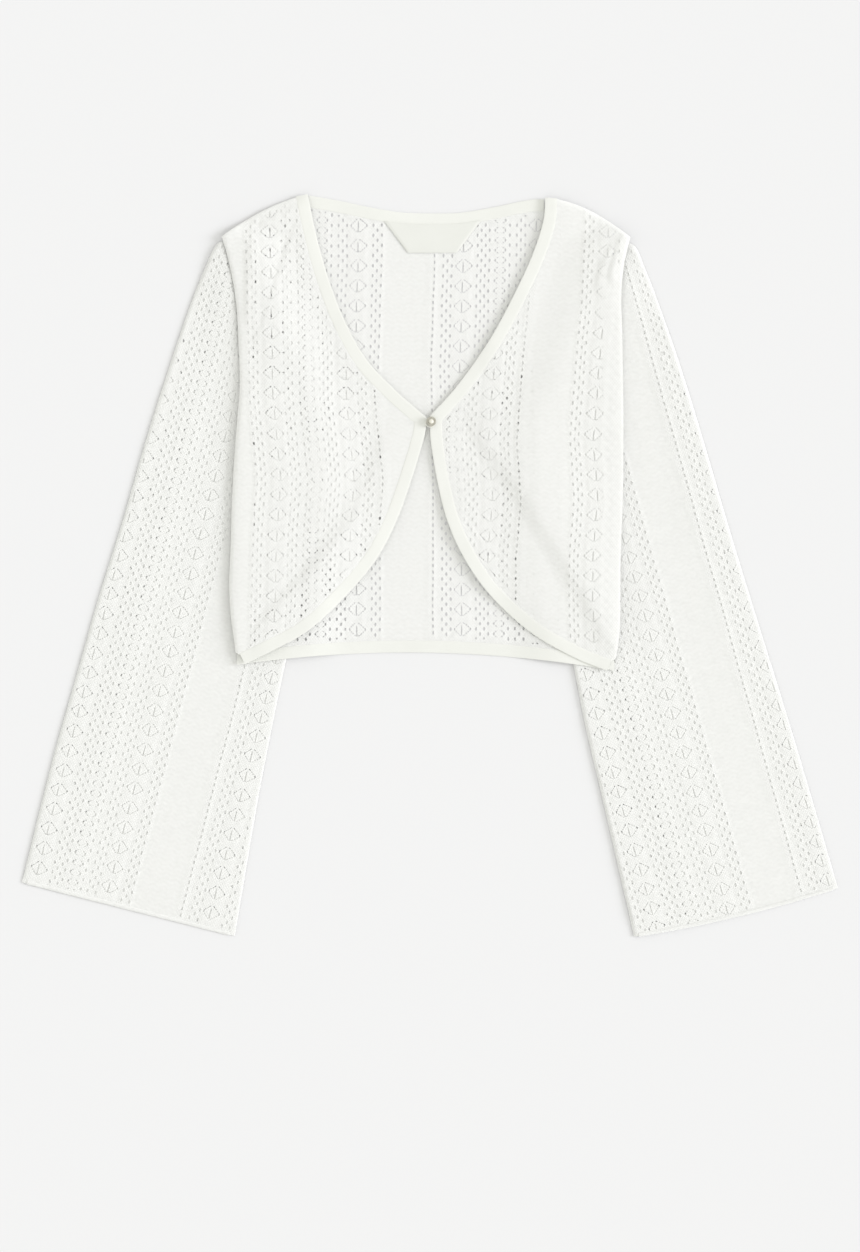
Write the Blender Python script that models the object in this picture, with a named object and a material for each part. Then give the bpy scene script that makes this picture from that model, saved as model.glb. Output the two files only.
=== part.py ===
"""Cropped open-knit cardigan, laid flat on its back.

The garment lies on a surface at z = 0. +Y points to the neck, and +X to the right of someone who
looks down on it, so "left" is the side at -X. Sizes are in millimetres, and MM turns them into
metres where a mesh is made. Every piece is a wall of knitted cloth or a strip of plain tape.
"""
import math
from collections import namedtuple

import bmesh
import bpy

MM = 0.001

# Cloth and tape
WALL = 1.2  # knitted wall
TAPE = 1.6  # plain band round the edges, a folded tape
LABEL = 1.0  # neck label
BAND_WIDTH = 11.4
SEAM = 0.4  # play between two sewn pieces
LAYER = 0.8  # air between the back and a front
TUBE_AIR = 0.5  # air inside a flattened sleeve
TUBE = 2 * WALL + TUBE_AIR  # a flattened sleeve
TUBE_FOLD = 2.4 * WALL  # from a sleeve's folded edge to the air inside it

# Button and its loop
BUTTON_RADIUS = 4.6
BUTTON_HEIGHT = 4.4
SHANK_RADIUS = 1.9
THREAD_RADIUS = 0.5
LOOP_RADIUS = 4.3
LOOP_STEPS = 22
LOOP_START = 165.0  # degrees
LOOP_SWEEP = 330.0
BUTTON_OFFSET = (1.0, -5.5)  # from the corner of the right front's edge
LOOP_OFFSET = (-1.0, -0.9)  # from the button's middle
# The button's outline from the foot of its shank: share of its radius, share of its height
BUTTON_PROFILE = (
    (0.93, 0.40),
    (1.00, 0.52),
    (0.93, 0.68),
    (0.66, 0.88),
    (0.34, 0.97),
)
SHANK_SHARE = 0.36  # the shank's share of the button's height

# Where the back rises over a sleeve that is turned under the body
RISE_MARGIN = 13.0
RISE_RAMP = 48.0
RISE = TUBE + SEAM
TIP_SLOPE = 2.0  # how fast that rise ends above the shoulder tip, across for each unit up

# Mesh steps
FRONT_ROWS = 30
FRONT_ACROSS = (0.0, 0.04, 0.09, 0.15, 0.24, 0.36, 0.5, 0.64, 0.78, 0.9, 1.0)
BACK_ROWS = 20
BACK_ACROSS = 28
SLEEVE_ROWS = 20
SLEEVE_ACROSS = 9
NECK_STEPS = 20
LABEL_ROWS = 3
LABEL_ACROSS = 6
TURNS = 24

# How a tape swells across its width: place across, share of its full thickness
TAPE_PROFILE = ((0.0, 0.65), (0.18, 1.0), (0.82, 1.0), (1.0, 0.65))

# A front, from the shoulder to the hem corner. Each row is one section, from the side edge of the
# body to the finished neck or front edge. The row at the button is where the edge turns.
FrontRow = namedtuple("FrontRow", "side_x side_y edge_x edge_y")
BUTTON_ROW = 6
LEFT_FRONT = [
    FrontRow(-197.6, 312.1, -115.9, 352.4),
    FrontRow(-191.0, 288.3, -110.2, 323.5),
    FrontRow(-184.3, 252.2, -99.8, 283.6),
    FrontRow(-181.5, 209.5, -84.6, 240.8),
    FrontRow(-180.5, 171.5, -62.7, 199.0),
    FrontRow(-182.4, 143.0, -34.2, 167.7),
    FrontRow(-184.3, 119.2, -2.9, 140.1),
    FrontRow(-186.2, 92.6, -5.7, 121.1),
    FrontRow(-188.1, 54.6, -17.1, 83.1),
    FrontRow(-189.1, 16.6, -31.4, 43.2),
    FrontRow(-190.5, -18.5, -51.3, 5.2),
    FrontRow(-189.0, -47.0, -81.7, -30.9),
    FrontRow(-186.6, -66.0, -115.9, -62.2),
    FrontRow(-185.2, -76.0, -150.1, -81.2),
    FrontRow(-184.5, -82.5, -175.5, -93.5),
]
RIGHT_FRONT = [
    FrontRow(190.0, 311.1, 109.3, 349.1),
    FrontRow(184.3, 286.4, 107.4, 326.3),
    FrontRow(181.5, 257.0, 96.9, 294.0),
    FrontRow(182.4, 219.0, 78.9, 255.1),
    FrontRow(182.9, 181.0, 56.1, 213.3),
    FrontRow(183.4, 147.7, 26.6, 171.5),
    FrontRow(183.4, 119.2, 0.2, 142.0),
    FrontRow(183.4, 86.0, 0.6, 119.2),
    FrontRow(182.4, 50.8, 6.7, 81.2),
    FrontRow(181.0, 16.6, 16.2, 43.2),
    FrontRow(180.5, -15.7, 32.3, 7.1),
    FrontRow(180.5, -44.2, 57.0, -28.0),
    FrontRow(179.4, -66.0, 95.0, -63.2),
    FrontRow(177.8, -79.5, 135.9, -86.9),
    FrontRow(176.5, -88.0, 168.0, -100.0),
]
SHOULDER_CROWN = {"left": 5.4, "right": 7.8}  # how far a shoulder line bows up
CROWN_ROWS = 3.0  # the bow is gone this many rows below the shoulder

# A sleeve, from the armhole to the cuff. Each row is one flattened ring, from the outer fold to the
# inner fold. The first ring is sewn to the armhole, between the shoulder tip and the underarm.
SleeveRow = namedtuple("SleeveRow", "outer_x outer_y inner_x inner_y")
LEFT_SLEEVE = [
    SleeveRow(-191.5, 308.8, -128.0, 150.0),
    SleeveRow(-203.0, 305.0, -123.0, 128.0),
    SleeveRow(-213.8, 282.6, -119.5, 104.0),
    SleeveRow(-228.0, 246.5, -117.5, 78.0),
    SleeveRow(-248.0, 187.6, -117.5, 45.0),
    SleeveRow(-269.8, 119.2, -119.5, 0.0),
    SleeveRow(-291.7, 43.2, -126.4, -44.2),
    SleeveRow(-315.4, -32.8, -136.8, -90.7),
    SleeveRow(-337.0, -108.8, -150.0, -153.4),
    SleeveRow(-359.0, -186.7, -164.4, -228.5),
    SleeveRow(-387.6, -300.7, -185.3, -352.0),
]
RIGHT_SLEEVE = [
    SleeveRow(184.5, 307.8, 126.0, 150.0),
    SleeveRow(195.5, 302.0, 121.5, 128.0),
    SleeveRow(205.2, 279.8, 119.0, 104.0),
    SleeveRow(216.6, 250.3, 117.5, 78.0),
    SleeveRow(236.5, 193.3, 117.5, 45.0),
    SleeveRow(258.4, 123.0, 119.0, 0.0),
    SleeveRow(281.2, 45.1, 125.4, -44.2),
    SleeveRow(305.0, -32.8, 135.9, -93.6),
    SleeveRow(328.7, -108.8, 147.3, -151.5),
    SleeveRow(352.5, -186.7, 164.4, -224.7),
    SleeveRow(387.6, -306.4, 193.8, -352.5),
]
CUFF_BOW = {"left": 0.0, "right": -4.0}  # how far the cuff's middle lies off a straight line

# The finished neck line of the back, from one shoulder to the other
NeckPoint = namedtuple("NeckPoint", "x y")
NECK_LINE = [
    NeckPoint(-115.0, 351.5),
    NeckPoint(-85.5, 346.3),
    NeckPoint(-58.9, 340.6),
    NeckPoint(-27.6, 335.4),
    NeckPoint(6.7, 334.4),
    NeckPoint(31.4, 335.4),
    NeckPoint(64.6, 341.1),
    NeckPoint(94.1, 347.0),
    NeckPoint(108.3, 348.0),
]
NECK_CORNER = 14.0  # how far the back's cut for its neck band runs on under a front's band
HEM_BOW = 14.3  # how far the back hem bows up between its corners
BACK_INSET = 1.5  # a front hides the back's side edge by this much

# The neck label, hung from the neck band
LABEL_TOP_X = (-43.7, 48.5)
LABEL_FOOT_X = (-20.9, 25.7)
LABEL_FOOT_Y = 296.9

# Soft folds, raised in a wall: a line from start to end, how wide and how high
Fold = namedtuple("Fold", "start_x start_y end_x end_y width height")
FRONT_FOLDS = [
    Fold(-174.0, 255.0, -170.0, 150.0, 10.0, 2.4),  # left side edge, rolled over the sleeve
    Fold(-170.0, 150.0, -178.0, -40.0, 10.0, 2.4),
    Fold(-126.0, 334.0, -139.0, 281.0, 8.0, 2.0),  # left shoulder, pulled to the armhole
    Fold(-159.0, 257.0, -163.0, 214.0, 7.0, 1.4),
    Fold(-49.0, 91.0, -74.0, 17.0, 15.0, 2.6),  # left front, beside its curved band
    Fold(-74.0, 17.0, -138.0, -54.0, 15.0, 2.6),
    Fold(165.0, 262.0, 164.0, 119.0, 12.0, 2.6),  # right side edge
    Fold(164.0, 119.0, 165.0, -66.0, 12.0, 2.6),
    Fold(81.0, 119.0, 119.0, 57.0, 15.0, 2.4),  # right front, from the button to the side
    Fold(119.0, 57.0, 152.0, -19.0, 15.0, 2.4),
    Fold(98.0, 300.0, 60.0, 216.0, 14.0, 1.8),  # right neck edge, standing a little
    Fold(60.0, 216.0, 22.0, 166.0, 14.0, 1.8),
    Fold(8.0, 90.0, 40.0, -4.0, 15.0, 2.6),  # right lower edge
    Fold(40.0, -4.0, 84.0, -54.0, 13.0, 2.2),
]
SLEEVE_FOLDS = [
    Fold(-242.0, 138.0, -290.0, -71.0, 20.0, 1.6),
    Fold(222.0, 214.0, 256.0, 43.0, 16.0, 2.4),
    Fold(256.0, 43.0, 290.0, -90.0, 16.0, 1.8),
]

LACE_COLOUR = (0.88, 0.88, 0.85, 1.0)
TAPE_COLOUR = (0.89, 0.89, 0.86, 1.0)
LABEL_COLOUR = (0.84, 0.84, 0.81, 1.0)
PEARL_COLOUR = (0.78, 0.76, 0.70, 1.0)
THREAD_COLOUR = (0.86, 0.85, 0.80, 1.0)


def clear_scene():
    for old in list(bpy.data.objects):
        bpy.data.objects.remove(old, do_unlink=True)


def make_material(name, colour, roughness):
    material = bpy.data.materials.new(name)
    material.use_nodes = True
    shader = material.node_tree.nodes["Principled BSDF"]
    shader.inputs["Base Color"].default_value = colour
    shader.inputs["Roughness"].default_value = roughness
    shader.inputs["Metallic"].default_value = 0.0
    return material


def spline(values, place):
    """A smooth curve through evenly spaced values, read at a place from 0 to len(values) - 1."""
    first = max(0, min(int(place), len(values) - 2))
    t = place - first
    a, b = values[first], values[first + 1]
    before = values[first - 1] if first > 0 else 2 * a - b
    after = values[first + 2] if first + 2 < len(values) else 2 * b - a
    return 0.5 * (
        2 * a
        + (b - before) * t
        + (2 * before - 5 * a + 4 * b - after) * t * t
        + (3 * a - before - 3 * b + after) * t**3
    )


def row_point(rows, x_name, y_name, place):
    xs = [getattr(row, x_name) for row in rows]
    ys = [getattr(row, y_name) for row in rows]
    return spline(xs, place), spline(ys, place)


def front_edge(rows, place):
    """The finished edge of a front. It turns sharply at the button's row."""
    if place <= BUTTON_ROW:
        return row_point(rows[: BUTTON_ROW + 1], "edge_x", "edge_y", place)
    return row_point(rows[BUTTON_ROW:], "edge_x", "edge_y", place - BUTTON_ROW)


def inward(rows, place, distance):
    """The point that lies a distance inside a front's finished edge."""
    step = 0.05
    last = len(rows) - 1
    x, y = front_edge(rows, place)
    x0, y0 = front_edge(rows, max(0.0, place - step))
    x1, y1 = front_edge(rows, min(last, place + step))
    length = math.hypot(x1 - x0, y1 - y0)
    turn = -1 if rows[0].side_x < 0 else 1
    return x - turn * (y1 - y0) / length * distance, y + turn * (x1 - x0) / length * distance


def crown(side, across, place):
    """How far the shoulder's bow lifts a point of a front along Y."""
    left = max(0.0, 1.0 - place / CROWN_ROWS)
    return SHOULDER_CROWN[side] * 4 * across * (1 - across) * left * left


def front_point(side, rows, across, place):
    side_x, side_y = row_point(rows, "side_x", "side_y", place)
    end_x, end_y = inward(rows, place, BAND_WIDTH + SEAM)
    x = side_x + (end_x - side_x) * across
    y = side_y + (end_y - side_y) * across + crown(side, across, place)
    return x, y


def shoulder_y(side, rows, x):
    tip, neck = rows[0], (rows[0].edge_x, rows[0].edge_y)
    t = (x - tip.side_x) / (neck[0] - tip.side_x)
    return tip.side_y + (neck[1] - tip.side_y) * t + SHOULDER_CROWN[side] * 4 * t * (1 - t)


def neck_y(x):
    """The finished neck line's height at x."""
    for place, (a, b) in enumerate(zip(NECK_LINE, NECK_LINE[1:])):
        if x <= b.x:
            return spline([p.y for p in NECK_LINE], place + max(0.0, x - a.x) / (b.x - a.x))
    return NECK_LINE[-1].y


def back_top(x):
    """The top edge of the back panel: a shoulder, the neck under its band, and a shoulder."""
    if x < NECK_LINE[0].x - NECK_CORNER:
        return shoulder_y("left", LEFT_FRONT, x) - BACK_INSET
    if x > NECK_LINE[-1].x + NECK_CORNER:
        return shoulder_y("right", RIGHT_FRONT, x) - BACK_INSET
    return neck_y(x) - BAND_WIDTH - SEAM


def back_point(across, place):
    """A point of the back panel. Place runs from 0 at the shoulders to 1 at the hem."""
    row = place * (len(LEFT_FRONT) - 1)
    left_x, left_y = row_point(LEFT_FRONT, "side_x", "side_y", row)
    right_x, right_y = row_point(RIGHT_FRONT, "side_x", "side_y", row)
    left_x, right_x = left_x + BACK_INSET, right_x - BACK_INSET
    x = left_x + (right_x - left_x) * across
    y = left_y + (right_y - left_y) * across
    top_line = LEFT_FRONT[0].side_y + (RIGHT_FRONT[0].side_y - LEFT_FRONT[0].side_y) * across
    y += (back_top(x) - top_line) * (1 - place) ** 3
    y += HEM_BOW * 4 * across * (1 - across) * place * place
    return x, y


def hidden_edge(rows):
    """The sleeve's edge under the body, from the shoulder tip down past the hem."""
    return [(rows[0].outer_x, rows[0].outer_y)] + [(row.inner_x, row.inner_y) for row in rows]


def edge_x_at(line, y):
    if y >= line[0][1]:
        outward = -1 if line[0][0] < 0 else 1
        return line[0][0] + outward * (y - line[0][1]) * TIP_SLOPE
    for (x0, y0), (x1, y1) in zip(line, line[1:]):
        if y >= y1:
            return x0 + (x1 - x0) * (y0 - y) / (y0 - y1)
    return line[-1][0]


def smooth(t):
    t = max(0.0, min(1.0, t))
    return t * t * (3 - 2 * t)


def rise(x, y):
    """How far the body's lowest layer is lifted by the sleeve under it."""
    rows = LEFT_SLEEVE if x < 0 else RIGHT_SLEEVE
    over = abs(x) - abs(edge_x_at(hidden_edge(rows), y)) + RISE_MARGIN
    return RISE * smooth(1.0 + over / RISE_RAMP)


def fold_height(folds, x, y):
    """The height of the highest fold at a point. Each fold fades out sideways and at its ends."""
    height = 0.0
    for fold in folds:
        along_x, along_y = fold.end_x - fold.start_x, fold.end_y - fold.start_y
        length = math.hypot(along_x, along_y)
        t = ((x - fold.start_x) * along_x + (y - fold.start_y) * along_y) / length**2
        near = max(0.0, min(1.0, t))
        away = math.hypot(x - fold.start_x - near * along_x, y - fold.start_y - near * along_y)
        height = max(height, fold.height * math.exp(-((away / fold.width) ** 2)))
    return height


def front_base(x, y):
    """The underside of a front or its band."""
    return rise(x, y) + WALL + LAYER + fold_height(FRONT_FOLDS, x, y)


def finish(name, mesh_builder, material):
    bmesh.ops.recalc_face_normals(mesh_builder, faces=mesh_builder.faces)
    mesh = bpy.data.meshes.new(name)
    mesh_builder.to_mesh(mesh)
    mesh_builder.free()
    mesh.shade_smooth()
    mesh.set_sharp_from_angle(angle=math.radians(40))
    mesh.materials.append(material)
    made = bpy.data.objects.new(name, mesh)
    bpy.context.scene.collection.objects.link(made)
    return made


def ring_faces(builder, ring_a, ring_b):
    """Quads between two closed rings of the same length."""
    count = len(ring_a)
    for i in range(count):
        j = (i + 1) % count
        builder.faces.new((ring_a[i], ring_a[j], ring_b[j], ring_b[i]))


def wall_solid(name, rows, material):
    """A closed wall from rows of (x, y, underside, upper side)."""
    builder = bmesh.new()
    under = [[builder.verts.new((x * MM, y * MM, a * MM)) for x, y, a, b in row] for row in rows]
    upper = [[builder.verts.new((x * MM, y * MM, b * MM)) for x, y, a, b in row] for row in rows]
    for i in range(len(rows) - 1):
        for j in range(len(rows[0]) - 1):
            for side in (under, upper):
                corners = (side[i][j], side[i][j + 1], side[i + 1][j + 1], side[i + 1][j])
                builder.faces.new(corners if side is upper else corners[::-1])
    rims = []
    for side in (under, upper):
        right = [row[-1] for row in side]
        left = [row[0] for row in side]
        rims.append(side[0] + right[1:] + side[-1][-2::-1] + left[-2:0:-1])
    ring_faces(builder, rims[0], rims[1])
    return finish(name, builder, material)


def front_panel(name, side, rows, material):
    grid = []
    for i in range(FRONT_ROWS + 1):
        place = i * (len(rows) - 1) / FRONT_ROWS
        line = [front_point(side, rows, across, place) for across in FRONT_ACROSS]
        grid.append([(x, y, front_base(x, y), front_base(x, y) + WALL) for x, y in line])
    return wall_solid(name, grid, material)


def front_band(name, rows, material):
    grid = []
    for i in range(FRONT_ROWS + 1):
        place = i * (len(rows) - 1) / FRONT_ROWS
        row = []
        for across, share in TAPE_PROFILE:
            x, y = inward(rows, place, BAND_WIDTH * (1 - across))
            base = front_base(x, y)
            row.append((x, y, base, base + TAPE * share))
        grid.append(row)
    return wall_solid(name, grid, material)


def back_panel(material):
    grid = []
    for i in range(BACK_ROWS + 1):
        line = [back_point(j / BACK_ACROSS, i / BACK_ROWS) for j in range(BACK_ACROSS + 1)]
        grid.append([(x, y, rise(x, y), rise(x, y) + WALL) for x, y in line])
    return wall_solid("back_panel", grid, material)


def flat_band(name, line, material):
    """A tape whose upper edge follows a line of (x, y), at the level of the back."""
    grid = []
    for x, top in line:
        row = []
        for across, share in TAPE_PROFILE:
            y = top - BAND_WIDTH * across
            row.append((x, y, rise(x, y), rise(x, y) + TAPE * share))
        grid.append(row)
    return wall_solid(name, grid, material)


def neck_band(material):
    start, end = NECK_LINE[0].x, NECK_LINE[-1].x
    xs = [start + (end - start) * i / NECK_STEPS for i in range(NECK_STEPS + 1)]
    return flat_band("neck_band", [(x, neck_y(x)) for x in xs], material)


def hem_band(material):
    line = [back_point(j / BACK_ACROSS, 1.0) for j in range(BACK_ACROSS + 1)]
    return flat_band("hem_band", [(x, y - SEAM) for x, y in line], material)


def neck_label(material):
    under = WALL + SEAM
    grid = []
    for i in range(LABEL_ROWS + 1):
        down = i / LABEL_ROWS
        row = []
        for j in range(LABEL_ACROSS + 1):
            across = j / LABEL_ACROSS
            top_x = LABEL_TOP_X[0] + (LABEL_TOP_X[1] - LABEL_TOP_X[0]) * across
            foot_x = LABEL_FOOT_X[0] + (LABEL_FOOT_X[1] - LABEL_FOOT_X[0]) * across
            top_y = neck_y(top_x) - BAND_WIDTH - SEAM
            x = top_x + (foot_x - top_x) * down
            y = top_y + (LABEL_FOOT_Y - top_y) * down
            row.append((x, y, under, under + LABEL))
        grid.append(row)
    return wall_solid("neck_label", grid, material)


def flat_ring(start, end, bow, inset, low, high):
    """One ring of a flattened tube, round its under layer and back over its upper layer."""
    length = math.dist(start, end)
    points = []
    for layer, order in ((low, 1), (high, -1)):
        for i in range(SLEEVE_ACROSS + 1)[::order]:
            across = (inset + (length - 2 * inset) * i / SLEEVE_ACROSS) / length
            points.append((across, layer))
        points.append((1 - inset / length / 2 if order > 0 else inset / length / 2, None))
    ring = []
    for across, layer in points:
        x = start[0] + (end[0] - start[0]) * across
        y = start[1] + (end[1] - start[1]) * across + bow * 4 * across * (1 - across)
        if layer is None:
            z = TUBE / 2
        elif layer == high:
            z = high + fold_height(SLEEVE_FOLDS, x, y)
        else:
            z = low
        ring.append((x * MM, y * MM, z * MM))
    return ring


def sleeve(name, side, rows, material):
    builder = bmesh.new()
    outside, inside = [], []
    for i in range(SLEEVE_ROWS + 1):
        place = i * (len(rows) - 1) / SLEEVE_ROWS
        start = row_point(rows, "outer_x", "outer_y", place)
        end = row_point(rows, "inner_x", "inner_y", place)
        bow = CUFF_BOW[side] * (i / SLEEVE_ROWS) ** 4
        outer = flat_ring(start, end, bow, WALL, 0.0, TUBE)
        inner = flat_ring(start, end, bow, TUBE_FOLD, WALL, WALL + TUBE_AIR)
        outside.append([builder.verts.new(point) for point in outer])
        inside.append([builder.verts.new(point) for point in inner])
    for rings in (outside, inside):
        for ring_a, ring_b in zip(rings, rings[1:]):
            ring_faces(builder, ring_a, ring_b)
    ring_faces(builder, outside[0], inside[0])
    ring_faces(builder, outside[-1], inside[-1])
    return finish(name, builder, material)


def band_top(x, y):
    return front_base(x, y) + TAPE


def button_place():
    """The button's middle, on the right front's band and over the meeting of the two bands."""
    corner = RIGHT_FRONT[BUTTON_ROW]
    return corner.edge_x + BUTTON_OFFSET[0], corner.edge_y + BUTTON_OFFSET[1]


def button(material):
    """A domed button on a short shank, turned about its own axis."""
    x, y = button_place()
    foot = band_top(x, y) + SEAM
    profile = [(SHANK_RADIUS, 0.0), (SHANK_RADIUS, SHANK_SHARE * BUTTON_HEIGHT)]
    profile += [(a * BUTTON_RADIUS, b * BUTTON_HEIGHT) for a, b in BUTTON_PROFILE]
    builder = bmesh.new()
    rings = []
    for radius, height in profile:
        ring = []
        for i in range(TURNS):
            angle = 2 * math.pi * i / TURNS
            place = (x + radius * math.cos(angle), y + radius * math.sin(angle), foot + height)
            ring.append(builder.verts.new([value * MM for value in place]))
        rings.append(ring)
    for ring_a, ring_b in zip(rings, rings[1:]):
        ring_faces(builder, ring_a, ring_b)
    builder.faces.new(rings[0])
    top = builder.verts.new((x * MM, y * MM, (foot + BUTTON_HEIGHT) * MM))
    for i in range(TURNS):
        builder.faces.new((rings[-1][i], rings[-1][(i + 1) % TURNS], top))
    return finish("button", builder, material)


def button_loop(material):
    """A thread that runs from the left band, round the button's shank and back."""
    x, y = button_place()
    x, y = x + LOOP_OFFSET[0], y + LOOP_OFFSET[1]
    height = band_top(x, y) + SEAM + THREAD_RADIUS
    curve = bpy.data.curves.new("button_loop", "CURVE")
    curve.dimensions = "3D"
    curve.bevel_depth = THREAD_RADIUS * MM
    curve.bevel_resolution = 2
    curve.use_fill_caps = True
    path = curve.splines.new("POLY")
    path.points.add(LOOP_STEPS)
    for i, point in enumerate(path.points):
        angle = math.radians(LOOP_START + LOOP_SWEEP * i / LOOP_STEPS)
        px, py = x + LOOP_RADIUS * math.cos(angle), y + LOOP_RADIUS * math.sin(angle)
        point.co = (px * MM, py * MM, height * MM, 1.0)
    curve.materials.append(material)
    made = bpy.data.objects.new("button_loop", curve)
    bpy.context.scene.collection.objects.link(made)
    return made


def build():
    clear_scene()
    lace = make_material("lace_knit", LACE_COLOUR, 0.85)
    tape = make_material("plain_tape", TAPE_COLOUR, 0.8)
    label = make_material("label_cloth", LABEL_COLOUR, 0.75)
    pearl = make_material("pearl", PEARL_COLOUR, 0.25)
    thread = make_material("thread", THREAD_COLOUR, 0.7)
    back_panel(lace)
    front_panel("front_left", "left", LEFT_FRONT, lace)
    front_panel("front_right", "right", RIGHT_FRONT, lace)
    sleeve("sleeve_left", "left", LEFT_SLEEVE, lace)
    sleeve("sleeve_right", "right", RIGHT_SLEEVE, lace)
    neck_band(tape)
    hem_band(tape)
    front_band("front_band_left", LEFT_FRONT, tape)
    front_band("front_band_right", RIGHT_FRONT, tape)
    neck_label(label)
    button(pearl)
    button_loop(thread)


build()
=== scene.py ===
"""The looks of the cropped open-knit cardigan that lies flat on its back.

The frame is the CAD's: +X to the right and +Y to the neck for someone who looks down on the
garment, +Z up. Lengths are in millimetres here, and MM turns them into metres in the meshes.
"""

import math
from collections import namedtuple

import bmesh
import bpy
import numpy as np
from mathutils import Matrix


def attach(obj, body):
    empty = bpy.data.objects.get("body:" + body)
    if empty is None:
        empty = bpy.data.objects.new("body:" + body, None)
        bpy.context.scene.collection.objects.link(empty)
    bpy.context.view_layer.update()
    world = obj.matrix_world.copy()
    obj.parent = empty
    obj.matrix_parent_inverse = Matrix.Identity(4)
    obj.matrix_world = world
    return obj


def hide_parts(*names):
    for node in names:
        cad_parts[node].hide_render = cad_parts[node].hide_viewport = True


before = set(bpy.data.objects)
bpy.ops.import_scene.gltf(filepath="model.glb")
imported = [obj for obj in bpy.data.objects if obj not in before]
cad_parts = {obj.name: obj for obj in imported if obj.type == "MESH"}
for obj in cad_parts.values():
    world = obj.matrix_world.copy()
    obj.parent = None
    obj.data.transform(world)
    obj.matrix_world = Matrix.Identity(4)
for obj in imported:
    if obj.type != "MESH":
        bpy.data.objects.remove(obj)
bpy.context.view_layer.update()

MM = 0.001
SEED = 7


def rows_of(kind, *rows):
    """Rows of numbers whose columns have names."""
    return [kind(*row) for row in rows]


# Sizes shared with the solids

WALL = 1.2  # how thick the knit is
BAND_WIDTH = 11.4
SEAM = 0.4  # play between two sewn pieces
LAYER = 0.8  # air between the back and a front
TUBE = 2.9  # how thick a flattened sleeve is
RISE = TUBE + SEAM  # how far a sleeve lifts the body
RISE_MARGIN = 13.0  # from so far inward of the sleeve's hidden edge the body is at full height
RISE_RAMP = 48.0  # and further inward it comes down over this length
TIP_SLOPE = 2.0  # above the shoulder tip that edge runs out by this for each millimetre up

FrontRow = namedtuple("FrontRow", "side_x side_y edge_x edge_y")
BUTTON_ROW = 6
LEFT_FRONT = rows_of(
    FrontRow,
    (-197.6, 312.1, -115.9, 352.4),
    (-191.0, 288.3, -110.2, 323.5),
    (-184.3, 252.2, -99.8, 283.6),
    (-181.5, 209.5, -84.6, 240.8),
    (-180.5, 171.5, -62.7, 199.0),
    (-182.4, 143.0, -34.2, 167.7),
    (-184.3, 119.2, -2.9, 140.1),
    (-186.2, 92.6, -5.7, 121.1),
    (-188.1, 54.6, -17.1, 83.1),
    (-189.1, 16.6, -31.4, 43.2),
    (-190.5, -18.5, -51.3, 5.2),
    (-189.0, -47.0, -81.7, -30.9),
    (-186.6, -66.0, -115.9, -62.2),
    (-185.2, -76.0, -150.1, -81.2),
    (-184.5, -82.5, -175.5, -93.5),
)
RIGHT_FRONT = rows_of(
    FrontRow,
    (190.0, 311.1, 109.3, 349.1),
    (184.3, 286.4, 107.4, 326.3),
    (181.5, 257.0, 96.9, 294.0),
    (182.4, 219.0, 78.9, 255.1),
    (182.9, 181.0, 56.1, 213.3),
    (183.4, 147.7, 26.6, 171.5),
    (183.4, 119.2, 0.2, 142.0),
    (183.4, 86.0, 0.6, 119.2),
    (182.4, 50.8, 6.7, 81.2),
    (181.0, 16.6, 16.2, 43.2),
    (180.5, -15.7, 32.3, 7.1),
    (180.5, -44.2, 57.0, -28.0),
    (179.4, -66.0, 95.0, -63.2),
    (177.8, -79.5, 135.9, -86.9),
    (176.5, -88.0, 168.0, -100.0),
)
FRONTS = (("left", LEFT_FRONT), ("right", RIGHT_FRONT))
SHOULDER_CROWN = {"left": 5.4, "right": 7.8}  # how far a shoulder line bows up

SleeveRow = namedtuple("SleeveRow", "outer_x outer_y inner_x inner_y")
LEFT_SLEEVE = rows_of(
    SleeveRow,
    (-191.5, 308.8, -128.0, 150.0),
    (-203.0, 305.0, -123.0, 128.0),
    (-213.8, 282.6, -119.5, 104.0),
    (-228.0, 246.5, -117.5, 78.0),
    (-248.0, 187.6, -117.5, 45.0),
    (-269.8, 119.2, -119.5, 0.0),
    (-291.7, 43.2, -126.4, -44.2),
    (-315.4, -32.8, -136.8, -90.7),
    (-337.0, -108.8, -150.0, -153.4),
    (-359.0, -186.7, -164.4, -228.5),
    (-387.6, -300.7, -185.3, -352.0),
)
RIGHT_SLEEVE = rows_of(
    SleeveRow,
    (184.5, 307.8, 126.0, 150.0),
    (195.5, 302.0, 121.5, 128.0),
    (205.2, 279.8, 119.0, 104.0),
    (216.6, 250.3, 117.5, 78.0),
    (236.5, 193.3, 117.5, 45.0),
    (258.4, 123.0, 119.0, 0.0),
    (281.2, 45.1, 125.4, -44.2),
    (305.0, -32.8, 135.9, -93.6),
    (328.7, -108.8, 147.3, -151.5),
    (352.5, -186.7, 164.4, -224.7),
    (387.6, -306.4, 193.8, -352.5),
)
SLEEVES = (("left", LEFT_SLEEVE), ("right", RIGHT_SLEEVE))
CUFF_BOW = {"left": 0.0, "right": -4.0}  # how far the cuff's middle lies off a straight line

NeckPoint = namedtuple("NeckPoint", "x y")
NECK_LINE = rows_of(
    NeckPoint,
    (-115.0, 351.5),
    (-85.5, 346.3),
    (-58.9, 340.6),
    (-27.6, 335.4),
    (6.7, 334.4),
    (31.4, 335.4),
    (64.6, 341.1),
    (94.1, 347.0),
    (108.3, 348.0),
)
NECK_CORNER = 14.0  # how far outside the neck line's ends the back's shoulders stop
HEM_BOW = 14.3  # how far the back hem bows up between its corners
BACK_INSET = 1.5  # a front hides the back's side edge by this much
LABEL_TOP_X = (-43.7, 48.5)
LABEL_FOOT_X = (-20.9, 25.7)
LABEL_FOOT_Y = 296.9
BUTTON_OFFSET = (1.0, -5.5)  # from the corner of the right front's edge
LOOP_OFFSET = (-1.0, -0.9)  # from the button's middle
BAND_TUCK = 2.0  # how far the lace runs on under a band
HEM_TUCK = 1.5  # and under the hem band
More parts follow.
